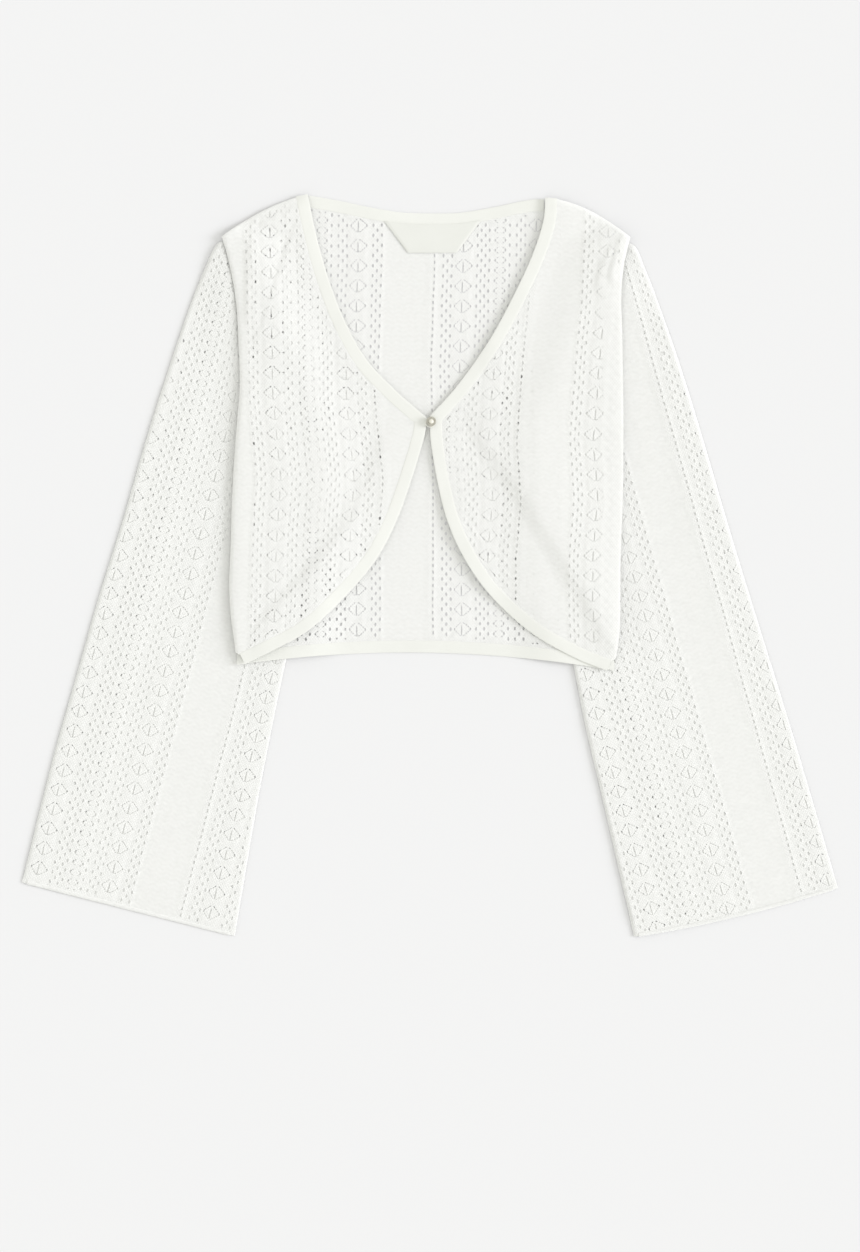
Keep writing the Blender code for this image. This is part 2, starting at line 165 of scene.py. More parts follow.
SIDE_STEPS = 90  # points along a line
EDGE_STEPS = 110
SHORT_STEPS = 60
SLEEVE_STEPS = 80
CUFF_STEPS = 40
SHOULDER_STEPS = 24
BACK_SHOULDER_STEPS = 12
TOP_STEPS = 20

# Creases

# A crease is a soft ridge (height above 0) or trough (below 0) along a line. Its side that looks
# to -X falls over width_left, and the side that looks to +X over width_right.
Crease = namedtuple("Crease", "start_x start_y end_x end_y height width_left width_right")
FRONT_CREASES = rows_of(
    Crease,
    (-176.0, 205.0, -175.0, 150.0, 0.8, 12.0, 60.0),  # left side, over the sleeve
    (-175.0, 150.0, -181.0, -62.0, 1.5, 12.0, 60.0),
    (-156.0, 322.0, -110.0, 347.0, 1.5, 9.0, 26.0),  # left shoulder
    (-122.0, 338.0, -138.0, 285.0, 1.5, 6.0, 50.0),  # from there to the armhole
    (-138.0, 285.0, -160.0, 222.0, 1.3, 6.0, 50.0),
    (-112.0, 306.0, -118.0, 205.0, 0.5, 6.0, 24.0),
    (-168.0, 316.0, -172.0, 240.0, 1.2, 5.0, 30.0),
    (-45.0, 98.0, -72.0, 38.0, 1.6, 11.0, 60.0),  # left front, inside its curved band
    (-72.0, 38.0, -113.0, -12.0, 2.5, 11.0, 60.0),
    (-113.0, -12.0, -157.0, -57.0, 2.4, 11.0, 44.0),
    (58.0, 116.0, 100.0, 56.0, 2.1, 12.0, 52.0),  # right front, from button to side
    (100.0, 56.0, 141.0, -12.0, 2.8, 12.0, 48.0),
    (141.0, -12.0, 170.0, -66.0, 2.3, 10.0, 30.0),
    (181.0, 306.0, 172.0, 276.0, 2.2, 5.0, 12.0),  # right shoulder, pinched at its tip
    (172.0, 300.0, 160.0, 270.0, 1.2, 4.0, 14.0),
    (130.0, 322.0, 112.0, 250.0, 0.4, 9.0, 30.0),
    (108.0, 344.0, 62.0, 216.0, 1.7, 14.0, 46.0),  # right neck edge, standing a little
    (62.0, 216.0, 22.0, 166.0, 0.4, 14.0, 46.0),
    (8.0, 92.0, 22.0, 24.0, 0.5, 14.0, 44.0),  # right lower edge
    (22.0, 24.0, 40.0, -12.0, 2.2, 18.0, 50.0),
    (58.0, -36.0, 110.0, -84.0, -0.8, 16.0, 16.0),  # and where it lies flat again
    (110.0, -84.0, 150.0, -96.0, -0.9, 16.0, 16.0),
)
SLEEVE_CREASES = rows_of(
    Crease,
    (-242.0, 138.0, -290.0, -71.0, 0.3, 18.0, 30.0),
    (-300.0, -120.0, -330.0, -260.0, 0.2, 18.0, 30.0),
    (222.0, 214.0, 256.0, 43.0, 0.9, 20.0, 36.0),
    (256.0, 43.0, 290.0, -90.0, 0.6, 20.0, 36.0),
)

# The lace's chart

# One repeat of the lace across, zone by zone. A column has a width and a pattern, with a letter
# for each row of the repeat: o for a hole, f and r for a fine slit that falls or rises to the
# right, and - for cloth.
ROW = 1.6
Zone = namedtuple("Zone", "kind widths patterns")
CLOTH = "------------"
NET_EVEN = "--oo----oo--"
NET_ODD = "o----oo----o"
CLOSE = "oo--oo--oo--"
NET = (NET_EVEN, CLOTH, NET_ODD, CLOTH)
LEAF = (
    "--rf--------",
    "-r--f-------",
    "r----f------",
    "------f----r",
    "-ooooo------",
    "------r----f",
    "f----r------",
    "-f--r-------",
    "--fr--------",
)
CROSS = (
    "f----rf----r",
    "-f--r--f--r-",
    CLOTH,
    CLOTH,
    "-r--f--r--f-",
    "r----fr----f",
)


def plain_zone(kind, count, width):
    """Columns of one width with no holes."""
    return Zone(kind, (width,) * count, (CLOTH,) * count)


CHART = [
    plain_zone("dense", 17, 2.5),
    plain_zone("rib", 2, 2.2),
    Zone("net", (1.9,), (CLOSE,)),
    plain_zone("rib", 1, 2.1),
    plain_zone("plain", 2, 2.2),
    Zone("net", (2.2, 1.8, 2.2, 1.8, 2.2, 2.0), NET + NET[:2]),
    Zone("leaf", (1.6, 1.6, 1.6, 1.6, 2.0, 2.5, 1.9, 1.9, 1.9), LEAF),
    plain_zone("net", 2, 1.8),
    Zone("net", (2.0, 1.8, 2.0, 1.8, 2.0, 1.8, 2.0), NET + NET[:3]),
    plain_zone("rib", 2, 1.7),
    Zone("cross", (1.9,) * len(CROSS), CROSS),
    plain_zone("rib", 1, 2.2),
    Zone("net", (2.0,), (NET_EVEN,)),
    plain_zone("plain", 2, 2.3),
    Zone("net", (2.0, 2.0, 2.0, 2.0, 2.0, 2.2), NET + NET[:2]),
    Zone("leaf", (1.6, 1.6, 1.6, 1.7, 2.0, 2.4, 1.9, 1.9, 1.8), LEAF),
    plain_zone("net", 2, 2.15),
    Zone("net", (2.0, 1.8, 2.0, 2.2, 2.0), NET + NET[:1]),
    plain_zone("rib", 1, 1.5),
]
DENSE_WIDTH = sum(CHART[0].widths)
REPEAT_ROWS = len(CLOTH)
CLOSE_COLUMN = 47.7  # from the start of the repeat to its close column of holes
BULGE = 0.02  # how far the middle of a hole is pushed out
TAPER = 0.45  # how far the end of a hole is drawn in
SLIM = 0.45  # how much each side of a leaf's upright slit closes in
STRETCH = 1.0  # how much each end of it reaches on
SLANT = 0.44  # how wide a slanted slit is, of the cell that it crosses
JITTER = 0.16  # how unevenly the knit's points lie
LIP = 0.17  # how far the cloth is drawn up at a hole
RIB_RELIEF = 0.2
MOTIF_RELIEF = 0.3
SELVEDGE = 3.0  # no hole lies nearer to an edge

# Curves


def spline(values, place):
    """A smooth curve through evenly spaced values, read at places from 0 to len(values) - 1."""
    values = np.asarray(values, float)
    place = np.asarray(place, float)
    first = np.clip(place.astype(int), 0, len(values) - 2)
    t = place - first
    a, b = values[first], values[first + 1]
    before = np.where(first > 0, values[np.maximum(first - 1, 0)], 2 * a - b)
    last = len(values) - 1
    after = np.where(first + 2 <= last, values[np.minimum(first + 2, last)], 2 * b - a)
    return 0.5 * (
        2 * a
        + (b - before) * t
        + (2 * before - 5 * a + 4 * b - after) * t * t
        + (3 * a - before - 3 * b + after) * t**3
    )


def row_curve(rows, x_name, y_name, places):
    xs = [getattr(row, x_name) for row in rows]
    ys = [getattr(row, y_name) for row in rows]
    return np.stack([spline(xs, places), spline(ys, places)], axis=-1)


def front_edge(rows, part):
    """The finished edge of a front above (part 0) or below (part 1) its button."""
    rows = rows[: BUTTON_ROW + 1] if part == 0 else rows[BUTTON_ROW:]
    places = np.linspace(0, len(rows) - 1, EDGE_STEPS)
    return row_curve(rows, "edge_x", "edge_y", places)


def normals(line, turn):
    step = np.gradient(line, axis=0)
    step /= np.linalg.norm(step, axis=1)[:, None]
    return np.stack([-turn * step[:, 1], turn * step[:, 0]], axis=-1)


def edge_pair(side, rows, distance):
    """A front's finished edge, and the line that lies a distance inside it, mitred at the button."""
    turn = -1 if side == "left" else 1
    outer, inner = [], []
    corner = np.array([rows[BUTTON_ROW].edge_x, rows[BUTTON_ROW].edge_y])
    above = front_edge(rows, 0)
    below = front_edge(rows, 1)
    n_above = normals(above, turn)
    n_below = normals(below, turn)
    middle = n_above[-1] + n_below[0]
    middle /= np.linalg.norm(middle)
    mitre = corner + middle * distance / max(0.5, float(middle @ n_above[-1]))
    along = np.array([middle[1], -middle[0]])
    for line, normal in ((above, n_above), (below, n_below)):
        offset = line + normal * distance
        body = line.mean(axis=0)
        sign = np.sign((body - corner) @ along)
        wrong = ((offset - corner) @ along) * sign < 0
        near = np.linalg.norm(line - corner, axis=1) < 4 * distance
        offset[wrong & near] = mitre
        outer.append(line)
        inner.append(offset)
    return np.concatenate([outer[0], outer[1][1:]]), np.concatenate([inner[0], inner[1][1:]])


def shoulder_y(side, rows, x):
    tip = rows[0]
    t = (x - tip.side_x) / (tip.edge_x - tip.side_x)
    return tip.side_y + (tip.edge_y - tip.side_y) * t + SHOULDER_CROWN[side] * 4 * t * (1 - t)


def neck_y(x):
    """The finished neck line's height at x."""
    x = np.asarray(x, float)
    xs = np.array([p.x for p in NECK_LINE])
    at = np.clip(np.searchsorted(xs, x) - 1, 0, len(xs) - 2)
    t = np.clip((x - xs[at]) / (xs[at + 1] - xs[at]), 0, 1)
    return spline([p.y for p in NECK_LINE], at + t)


def hem_line(count):
    """The back's lower edge, from left to right."""
    t = np.linspace(0, 1, count)
    left, right = LEFT_FRONT[-1], RIGHT_FRONT[-1]
    x = left.side_x + BACK_INSET + (right.side_x - left.side_x - 2 * BACK_INSET) * t
    y = left.side_y + (right.side_y - left.side_y) * t + HEM_BOW * 4 * t * (1 - t)
    return np.stack([x, y], axis=-1)


def side_line(rows, count):
    """A front's side edge, from the shoulder down."""
    places = np.linspace(0, len(rows) - 1, count)
    return row_curve(rows, "side_x", "side_y", places)


def front_outline(side, rows):
    """The lace of a front: side edge, lower end, the line under its band, and shoulder."""
    edge = side_line(rows, SIDE_STEPS)
    inner = edge_pair(side, rows, BAND_WIDTH - BAND_TUCK)[1][::-1]
    t = np.linspace(0, 1, SHOULDER_STEPS)[1:-1]
    x = inner[-1][0] + (edge[0][0] - inner[-1][0]) * t
    shoulder = np.stack([x, shoulder_y(side, rows, x)], axis=-1)
    return np.concatenate([edge, inner, shoulder])


def back_shoulder(side, rows, start, end):
    xs = np.linspace(start, end, BACK_SHOULDER_STEPS)
    return np.stack([xs, shoulder_y(side, rows, xs) - BACK_INSET], axis=-1)


def back_outline():
    left = side_line(LEFT_FRONT, SIDE_STEPS) + np.array([BACK_INSET, 0])
    right = side_line(RIGHT_FRONT, SIDE_STEPS) - np.array([BACK_INSET, 0])
    hem = hem_line(SHORT_STEPS)[1:-1] - np.array([0, HEM_TUCK])
    right_end, left_end = NECK_LINE[-1].x + NECK_CORNER, NECK_LINE[0].x - NECK_CORNER
    right_top = back_shoulder("right", RIGHT_FRONT, right[0][0], right_end)[1:]
    left_top = back_shoulder("left", LEFT_FRONT, left_end, left[0][0])[:-1]
    xs = np.linspace(NECK_LINE[-1].x, NECK_LINE[0].x, SHORT_STEPS)
    neck = np.stack([xs, neck_y(xs) - BAND_WIDTH + BAND_TUCK], axis=-1)
    return np.concatenate([left, hem, right[::-1], right_top, neck, left_top])


def sleeve_lines(side, rows):
    """A sleeve's outer fold, cuff and inner fold as lines of points."""
    places = np.linspace(0, len(rows) - 1, SLEEVE_STEPS)
    outer = row_curve(rows, "outer_x", "outer_y", places)
    inner = row_curve(rows, "inner_x", "inner_y", places)
    t = np.linspace(0, 1, CUFF_STEPS)
    cuff = outer[-1] + (inner[-1] - outer[-1]) * t[:, None]
    cuff[:, 1] += CUFF_BOW[side] * 4 * t * (1 - t)
    return outer, cuff, inner


def sleeve_outline(side, rows):
    outer, cuff, inner = sleeve_lines(side, rows)
    return np.concatenate([outer, cuff[1:-1], inner[::-1]])


# Heights

LEAST_AWAY = 1e-6  # divisors are never less
LEAST_ACROSS = 0.01


def smooth(t):
    t = np.clip(t, 0.0, 1.0)
    return t * t * (3 - 2 * t)


def rounded(t):
    """The profile of a cloth's rolled edge, from 0 on the edge to 1 where the roll ends."""
    t = np.clip(t, 0.0, 1.0)
    return np.sqrt(np.maximum(0.0, 1 - (1 - t) ** 2))


def edge_x_at(line, y):
    """Across from the middle, where the sleeve's hidden edge lies at each y."""
    ys = np.array([p[1] for p in line])[::-1]
    xs = np.abs(np.array([p[0] for p in line]))[::-1]
    x = np.interp(y, ys, xs)
    return np.where(y > ys[-1], xs[-1] + (y - ys[-1]) * TIP_SLOPE, x)


def rise(x, y):
    """How far the body's lowest layer is lifted by the sleeve under it."""
    lift = np.zeros(np.broadcast(x, y).shape)
    for rows, mask in ((LEFT_SLEEVE, x < 0), (RIGHT_SLEEVE, x >= 0)):
        line = [(rows[0].outer_x, rows[0].outer_y)] + [(r.inner_x, r.inner_y) for r in rows]
        over = np.abs(x) - edge_x_at(line, y) + RISE_MARGIN
        lift = np.where(mask, RISE * smooth(1.0 + over / RISE_RAMP), lift)
    return lift


def crease_height(creases, x, y):
    """Ridges add as the highest one, and troughs as the deepest."""
    up = np.zeros(np.broadcast(x, y).shape)
    down = np.zeros(up.shape)
    for c in creases:
        along = np.array([c.end_x - c.start_x, c.end_y - c.start_y])
        length = np.hypot(*along)
        dx, dy = x - c.start_x, y - c.start_y
        near = np.clip((dx * along[0] + dy * along[1]) / length**2, 0, 1)
        ox, oy = dx - near * along[0], dy - near * along[1]
        away = np.hypot(ox, oy)
        turn = np.sign(-along[1]) / length
        side = turn * (oy * along[0] - ox * along[1]) / np.maximum(away, LEAST_AWAY)
        width = c.width_left + (c.width_right - c.width_left) * smooth(0.5 + 0.5 * side)
        part = c.height * np.exp(-((away / width) ** 2))
        up = np.maximum(up, part)
        down = np.minimum(down, part)
    return up + down


Drift = namedtuple("Drift", "reach size")
WAVES = 5  # how many are added for an unevenness
WAVE_RANGE = (0.7, 1.6)  # the shortest and the longest, as shares of its size
FRONT_SWELL = Drift(0.18, 75.0)


def wander(drift, x, y, seed):
    """A slow uneven wave that never leaves its reach, the same on every run."""
    rng = np.random.default_rng(seed)
    total = np.zeros(np.broadcast(x, y).shape)
    for _ in range(WAVES):
        angle = rng.uniform(0, math.pi)
        wave = 2 * math.pi / (drift.size * rng.uniform(*WAVE_RANGE))
        phase = rng.uniform(0, 2 * math.pi)
        total = total + np.sin(wave * (x * math.cos(angle) + y * math.sin(angle)) + phase)
    return drift.reach * (total / WAVES)


def front_base(x, y):
    """The underside of a front or its band."""
    swell = wander(FRONT_SWELL, x, y, SEED)
    return rise(x, y) + WALL + LAYER + crease_height(FRONT_CREASES, x, y) + swell


AT_ONCE = 16  # stretches of a line that are measured in one go
LEAST_STEP = 1e-9
FAR = 1e3  # stands for any distance that doesn't matter


def distance_to(x, y, line):
    """Distance from points to an open line, and the nearest points on it."""
    shape = np.shape(x)
    p = np.stack([np.ravel(x), np.ravel(y)], axis=-1)
    best = np.full(len(p), np.inf)
    foot = np.zeros((len(p), 2))
    a, b = line[:-1], line[1:]
    keep = np.linalg.norm(b - a, axis=1) > LEAST_STEP
    a, b = a[keep], b[keep]
    for start in range(0, len(a), AT_ONCE):
        s, e = a[start : start + AT_ONCE], b[start : start + AT_ONCE]
        d = e - s
        t = ((p[:, None] - s) * d).sum(-1) / (d * d).sum(-1)
        q = s + np.clip(t, 0, 1)[..., None] * d
        dist = np.linalg.norm(p[:, None] - q, axis=-1)
        at = dist.argmin(axis=1)
        row = np.arange(len(p))
        closer = dist[row, at] < best
        best[closer] = dist[row, at][closer]
        foot[closer] = q[row, at][closer]
    return best.reshape(shape), foot.reshape(shape + (2,))


def in_polygon(x, y, outline):
    inside = np.zeros(np.shape(x), bool)
    a, b = outline, np.roll(outline, -1, axis=0)
    for (x0, y0), (x1, y1) in zip(a, b):
        if y0 == y1:
            continue
        crosses = (y0 > y) != (y1 > y)
        inside ^= crosses & (x < (x1 - x0) * (y - y0) / (y1 - y0) + x0)
    return inside


# Meshes


MAP_UNIT = 10.0  # millimetres for each unit of the cloth's map
UV_SCALE = 1 / MAP_UNIT
MERGE = 0.00001  # points that are closer, in metres, become one
SHARP = 50.0  # an edge that turns by more degrees is shaded sharp


def add_to_scene(name, data):
    made = bpy.data.objects.new(name, data)
    bpy.context.scene.collection.objects.link(made)
    return made


def add_object(name, points, faces, uvs=None):
    mesh = bpy.data.meshes.new(name)
    mesh.from_pydata((np.asarray(points) * MM).tolist(), [], faces)
    mesh.update()
    if uvs is not None:
        layer = mesh.uv_layers.new(name="cloth")
        index = np.zeros(len(mesh.loops), np.int32)
        mesh.loops.foreach_get("vertex_index", index)
        layer.data.foreach_set("uv", np.asarray(uvs, np.float32)[index].ravel())
    mesh.shade_smooth()
    return add_to_scene(name, mesh)


def hole_moves(letters, leaf):
    """How the corners of the upright holes move across and down, so that their ends are drawn in."""
    right = letters == "o"
    left = np.roll(right, 1, axis=0)
    left_up, right_up = np.roll(left, 1, axis=1), np.roll(right, 1, axis=1)
    runs = right & (np.roll(right, 1, axis=1) | np.roll(right, -1, axis=1))
    run_left = np.roll(runs, 1, axis=0)
    run_left_up, run_up = np.roll(run_left, 1, axis=1), np.roll(runs, 1, axis=1)
    shift = BULGE * (left & left_up) - BULGE * (right & right_up)
    shift += TAPER * (runs ^ run_up) - TAPER * (run_left ^ run_left_up)
    tip = np.roll(leaf, 1, axis=0)
    slit_right, slit_left = leaf & (right | right_up), tip & (left | left_up)
    shift += SLIM * slit_right - SLIM * slit_left
    drop = STRETCH * ((leaf & right_up & ~right) | (tip & left_up & ~left)).astype(float)
    drop -= STRETCH * ((leaf & right & ~right_up) | (tip & left & ~left_up))
    return shift, drop


def slit_moves(letters, widths):
    """How the two corners beside each slanted slit move to its middle."""
    pull = np.zeros(letters.shape + (3,))
    for i, j in zip(*np.nonzero((letters == "f") | (letters == "r"))):
        half = (1 - SLANT) / 2 * np.array([widths[i], ROW])
        k, m = (i + 1) % len(widths), (j + 1) % REPEAT_ROWS
        if letters[i, j] == "f":
            pull[k, j] += [-half[0], half[1], 1]
            pull[i, m] += [half[0], -half[1], 1]
        else:
            pull[i, j] += [half[0], half[1], 1]
            pull[k, m] += [-half[0], -half[1], 1]
    times = np.maximum(pull[..., 2], 1)
    return pull[..., 0] / times, pull[..., 1] / times


def chart_arrays():
    """Column widths, holes, and how each grid point of one repeat moves across, down and up."""
    widths = np.array([width for zone in CHART for width in zone.widths])
    letters = np.array([list(pattern) for zone in CHART for pattern in zone.patterns])
    kinds = np.array([zone.kind for zone in CHART for width in zone.widths])
    shift, drop = hole_moves(letters, (kinds == "leaf")[:, None])
    slit_shift, slit_drop = slit_moves(letters, widths)
    holes = letters != "-"
    around = holes.astype(int) + np.roll(holes, 1, axis=0)
    touching = around + np.roll(around, 1, axis=1)
    relief = LIP * np.minimum(touching, 2)
    relief[kinds == "rib"] += RIB_RELIEF
    motif = np.isin(kinds, ("leaf", "cross"))[:, None]
    relief += MOTIF_RELIEF * (motif & (touching == 0))
    return widths, holes, shift + slit_shift, drop + slit_drop, relief


WIDTHS, HOLES, SHIFT, DROP, RELIEF = chart_arrays()
REPEAT = float(WIDTHS.sum())
LEAST_CELL = 0.2  # a cell whose doubled area is less is left out


def chart_columns(u_range):
    """The chart's columns that start within a range, and where each does."""
    starts = np.concatenate([[0], np.cumsum(WIDTHS)])[:-1]
    columns, us = [], []
    turn = math.floor(u_range[0] / REPEAT)
    while turn * REPEAT < u_range[1]:
        for i, start in enumerate(starts):
            u = turn * REPEAT + start
            if u_range[0] <= u <= u_range[1]:
                columns.append(i)
                us.append(u)
        turn += 1
    return np.array(columns), np.array(us)


def with_neighbours(inside):
    """The grid's points inside an outline, and the ones next to them."""
    near = inside.copy()
    near[1:] |= inside[:-1]
    near[:-1] |= inside[1:]
    grown = near.copy()
    grown[:, 1:] |= near[:, :-1]
    grown[:, :-1] |= near[:, 1:]
    return grown


def cut_to(outline, x, y, inside):
    """Moves the points just outside an outline onto it, and measures how far in the others lie."""
    ring = np.concatenate([outline, outline[:1]])
    grown = with_neighbours(inside)
    away = np.full(x.shape, FAR)
    foot = np.zeros(x.shape + (2,))
    away[grown], foot[grown] = distance_to(x[grown], y[grown], ring)
    snap = grown & ~inside
    x = np.where(snap, foot[..., 0], x)
    y = np.where(snap, foot[..., 1], y)
    return x, y, np.where(snap, 0.0, away)


def four_corners(values):
    """The values at the four corners of each cell of a grid."""
    return values[:-1, :-1], values[1:, :-1], values[1:, 1:], values[:-1, 1:]


def lace_sheet(
    name, outline, u_range, v_range, place, height, row_shift=0, thick=1.0, plain=None
):
    """Lace cut to an outline. place turns (u, v) into (x, y), and height gives z there."""
    columns, us = chart_columns(u_range)
    rows = np.arange(math.floor(v_range[0] / ROW), math.ceil(v_range[1] / ROW) + 1)
    in_repeat = (rows + row_shift) % REPEAT_ROWS
    uneven = np.random.default_rng(SEED + row_shift).uniform(-JITTER, JITTER, (2, len(us), len(rows)))
    u = us[:, None] + SHIFT[columns][:, in_repeat] + uneven[0]
    v = rows * ROW + DROP[columns][:, in_repeat] + uneven[1]
    x, y = place(u, v)
    inside = in_polygon(x, y, outline)
    x, y, away = cut_to(outline, x, y, inside)
    margin = np.minimum.reduce(four_corners(away))
    hole = HOLES[columns[:-1]][:, in_repeat[:-1]] & (margin > SELVEDGE)
    if plain is not None:
        hole &= ~plain(x, y)[:-1, :-1]
    cells = np.logical_or.reduce(four_corners(inside)) & ~hole
    z = height(x, y) + thick * RELIEF[columns][:, in_repeat] * smooth(away / SELVEDGE)
    number = np.full(u.shape, -1)
    used = np.zeros(u.shape, bool)
    for corner in four_corners(used):
        corner |= cells
    number[used] = np.arange(used.sum())
    points = np.stack([x[used], y[used], z[used]], axis=-1)
    quads = np.stack([corner[cells] for corner in four_corners(number)], axis=-1)
    p = points[quads]
    twice = (p[:, 2, 0] - p[:, 0, 0]) * (p[:, 3, 1] - p[:, 1, 1])
    twice -= (p[:, 3, 0] - p[:, 1, 0]) * (p[:, 2, 1] - p[:, 0, 1])
    quads = quads[np.abs(twice) > LEAST_CELL]
    if np.median(twice) < 0:
        quads = quads[:, ::-1]
    uvs = np.stack([u[used], v[used]], axis=-1) * UV_SCALE
    return add_object(name, points, quads.tolist(), uvs)


def join(name, pieces):
    bpy.ops.object.select_all(action="DESELECT")
    for piece in pieces:
        piece.select_set(True)
    bpy.context.view_layer.objects.active = pieces[0]
    bpy.ops.object.join()
    pieces[0].name = name
    pieces[0].data.name = name
    return pieces[0]


def strip_solid(name, outer, inner, base, profile):
    """A closed tape between two lines. The profile has (across, underside, upper side)."""
    tops, bottoms, uv = [], [], []
    along = np.concatenate([[0], np.cumsum(np.linalg.norm(np.diff(outer, axis=0), axis=1))])
    for across, low, high in profile:
        line = inner + (outer - inner) * across
        ground = base(line[:, 0], line[:, 1])
        tops.append(np.column_stack([line, ground + high]))
        bottoms.append(np.column_stack([line, ground + low]))
        uv.append(np.column_stack([np.full(len(line), across * BAND_WIDTH), along]) * UV_SCALE)
    count, steps = len(outer), len(profile)
    rings = tops + bottoms[::-1]
    points = np.concatenate(rings)
    uvs = np.concatenate(uv + uv[::-1])
    total = 2 * steps
    faces = []
    for k in range(total):
        a, b = k * count, ((k + 1) % total) * count
        for i in range(count - 1):
            faces.append((a + i, a + i + 1, b + i + 1, b + i))
    faces.append([k * count for k in range(total)])
    faces.append([k * count + count - 1 for k in range(total)][::-1])
    made = add_object(name, points, faces, uvs)
    fix_normals(made)
    return made


def fix_normals(piece):
    builder = bmesh.new()
    builder.from_mesh(piece.data)
    bmesh.ops.remove_doubles(builder, verts=builder.verts, dist=MERGE)
    bmesh.ops.dissolve_degenerate(builder, edges=builder.edges, dist=MERGE)
    bmesh.ops.recalc_face_normals(builder, faces=builder.faces)
    builder.to_mesh(piece.data)
    builder.free()
    piece.data.shade_smooth()
    piece.data.set_sharp_from_angle(angle=math.radians(SHARP))


TURNS = 48  # steps round a turned piece


def lathe(name, profile, centre):
    """A turned piece from a profile of (radius, height), closed at both ends."""
    points, faces = [], []
    for radius, z in profile:
        for k in range(TURNS):
            a = 2 * math.pi * k / TURNS
            points.append(
                (centre[0] + radius * math.cos(a), centre[1] + radius * math.sin(a), centre[2] + z)
            )
    for i in range(len(profile) - 1):
        low, high = i * TURNS, (i + 1) * TURNS
        for k in range(TURNS):
            m = (k + 1) % TURNS
            faces.append((low + k, low + m, high + m, high + k))
    faces.append(list(range(TURNS))[::-1])
    faces.append([(len(profile) - 1) * TURNS + k for k in range(TURNS)])
    return add_object(name, points, faces)


# Materials

Tones = namedtuple("Tones", "plain deep light")
# The lace's two tones: its colour runs between them with painted stitch shade and highlight, and with
# the yarn's random fuzz.
LACE_LIGHT = (0.988, 0.990, 0.978)
LACE_SHADE_AND_FUZZ_DARK = (0.884, 0.887, 0.868)
TAPE_LIGHT = (0.832, 0.838, 0.802)
TAPE = Tones(TAPE_LIGHT, (0.800, 0.806, 0.770), TAPE_LIGHT)
LABEL = Tones((0.765, 0.772, 0.735), (0.76, 0.767, 0.73), (0.775, 0.782, 0.745))
RIM = Tones((0.42, 0.40, 0.34), (0.37, 0.355, 0.30), (0.48, 0.465, 0.40))
FACE = Tones((0.78, 0.76, 0.67), (0.68, 0.66, 0.57), (0.86, 0.84, 0.76))
THREAD = Tones((0.86, 0.85, 0.79), (0.80, 0.79, 0.72), (0.90, 0.89, 0.84))
FLOOR_COLOUR = (0.800, 0.800, 0.812)
LACE_PASSES = 0.2  # the share of light that passes through the lace's yarn
STITCH = (2.6, 3.2)  # the knit's fine crossing lines of painted stitch shade, across and along
RIPPLE = (5.0, 4.4)  # the dense knit's chevrons of painted shade: half their width, and from one to the next
RIPPLE_SLOPE = 0.55
RIPPLE_SHARE = 0.28  # how strong the chevrons are beside the crossing lines
PAINTED_SHADE_SHARE = 0.36  # how strong both are as painted light and shade
FUZZ_SHARE = 0.9  # and how strong the yarn's fuzz is
FUZZ_SCALE = 260.0
LACE_BUMP = (0.6, 0.0003)  # strength and height in metres
FINE_FUZZ_SCALE = 900.0
FUZZ_DETAIL = 2.0
TINT_DETAIL = 3.0
TINT_RANGE = (0.35, 0.65)
TWO_PI = 2 * math.pi


def set_inputs(node, **values):
    """Sets a node's inputs, each named by its words joined with an underscore."""
    for name, value in values.items():
        node.inputs[name.replace("_", " ")].default_value = value


def new_material(name, colour, roughness, sheen=0.0):
    material = bpy.data.materials.new(name)
    material.use_nodes = True
    shader = material.node_tree.nodes["Principled BSDF"]
    set_inputs(shader, Base_Color=(*colour, 1.0), Roughness=roughness, Metallic=0.0)
    set_inputs(shader, Sheen_Weight=sheen, Specular_IOR_Level=0.2)
    return material, material.node_tree, shader


def let_light_through(tree, shader, share, colour):
    """Thin cloth passes a share of the light to what lies behind it."""
    through = tree.nodes.new("ShaderNodeBsdfTranslucent")
    set_inputs(through, Color=(*colour, 1.0))
    mix = tree.nodes.new("ShaderNodeMixShader")
    mix.inputs[0].default_value = share
    tree.links.new(shader.outputs[0], mix.inputs[1])
    tree.links.new(through.outputs[0], mix.inputs[2])
    tree.links.new(mix.outputs[0], tree.nodes["Material Output"].inputs["Surface"])


def maths(tree, operation, first, second=None):
    """A Math node. Each input is a number or another node's output."""
    node = tree.nodes.new("ShaderNodeMath")
    node.operation = operation
    for slot, value in ((0, first), (1, second)):
        if value is None:
            continue
        if isinstance(value, float):
            node.inputs[slot].default_value = value
        else:
            tree.links.new(value, node.inputs[slot])
    return node.outputs[0]


def cloth_place(tree):
    """The place on the cloth's map, across and along."""
    uv = tree.nodes.new("ShaderNodeUVMap")
    uv.uv_map = "cloth"
    split = tree.nodes.new("ShaderNodeSeparateXYZ")
    tree.links.new(uv.outputs["UV"], split.inputs["Vector"])
    return split.outputs["X"], split.outputs["Y"]


def noise_in_space(tree, scale, detail):
    noise = tree.nodes.new("ShaderNodeTexNoise")
    set_inputs(noise, Scale=scale, Detail=detail)
    coordinates = tree.nodes.new("ShaderNodeTexCoord")
    tree.links.new(coordinates.outputs["Object"], noise.inputs["Vector"])
    return noise.outputs["Fac"]


def colour_between(tree, shader, value, ends, colours):
    """The surface goes from one colour to another as a value goes from end to end."""
    ramp = tree.nodes.new("ShaderNodeValToRGB")
    for i in range(2):
        ramp.color_ramp.elements[i].position = ends[i]
        ramp.color_ramp.elements[i].color = (*colours[i], 1.0)
    tree.links.new(value, ramp.inputs["Fac"])
    tree.links.new(ramp.outputs["Color"], shader.inputs["Base Color"])


def bump(tree, shader, value, strength, distance):
    node = tree.nodes.new("ShaderNodeBump")
    set_inputs(node, Strength=strength, Distance=distance)
    tree.links.new(value, node.inputs["Height"])
    tree.links.new(node.outputs["Normal"], shader.inputs["Normal"])


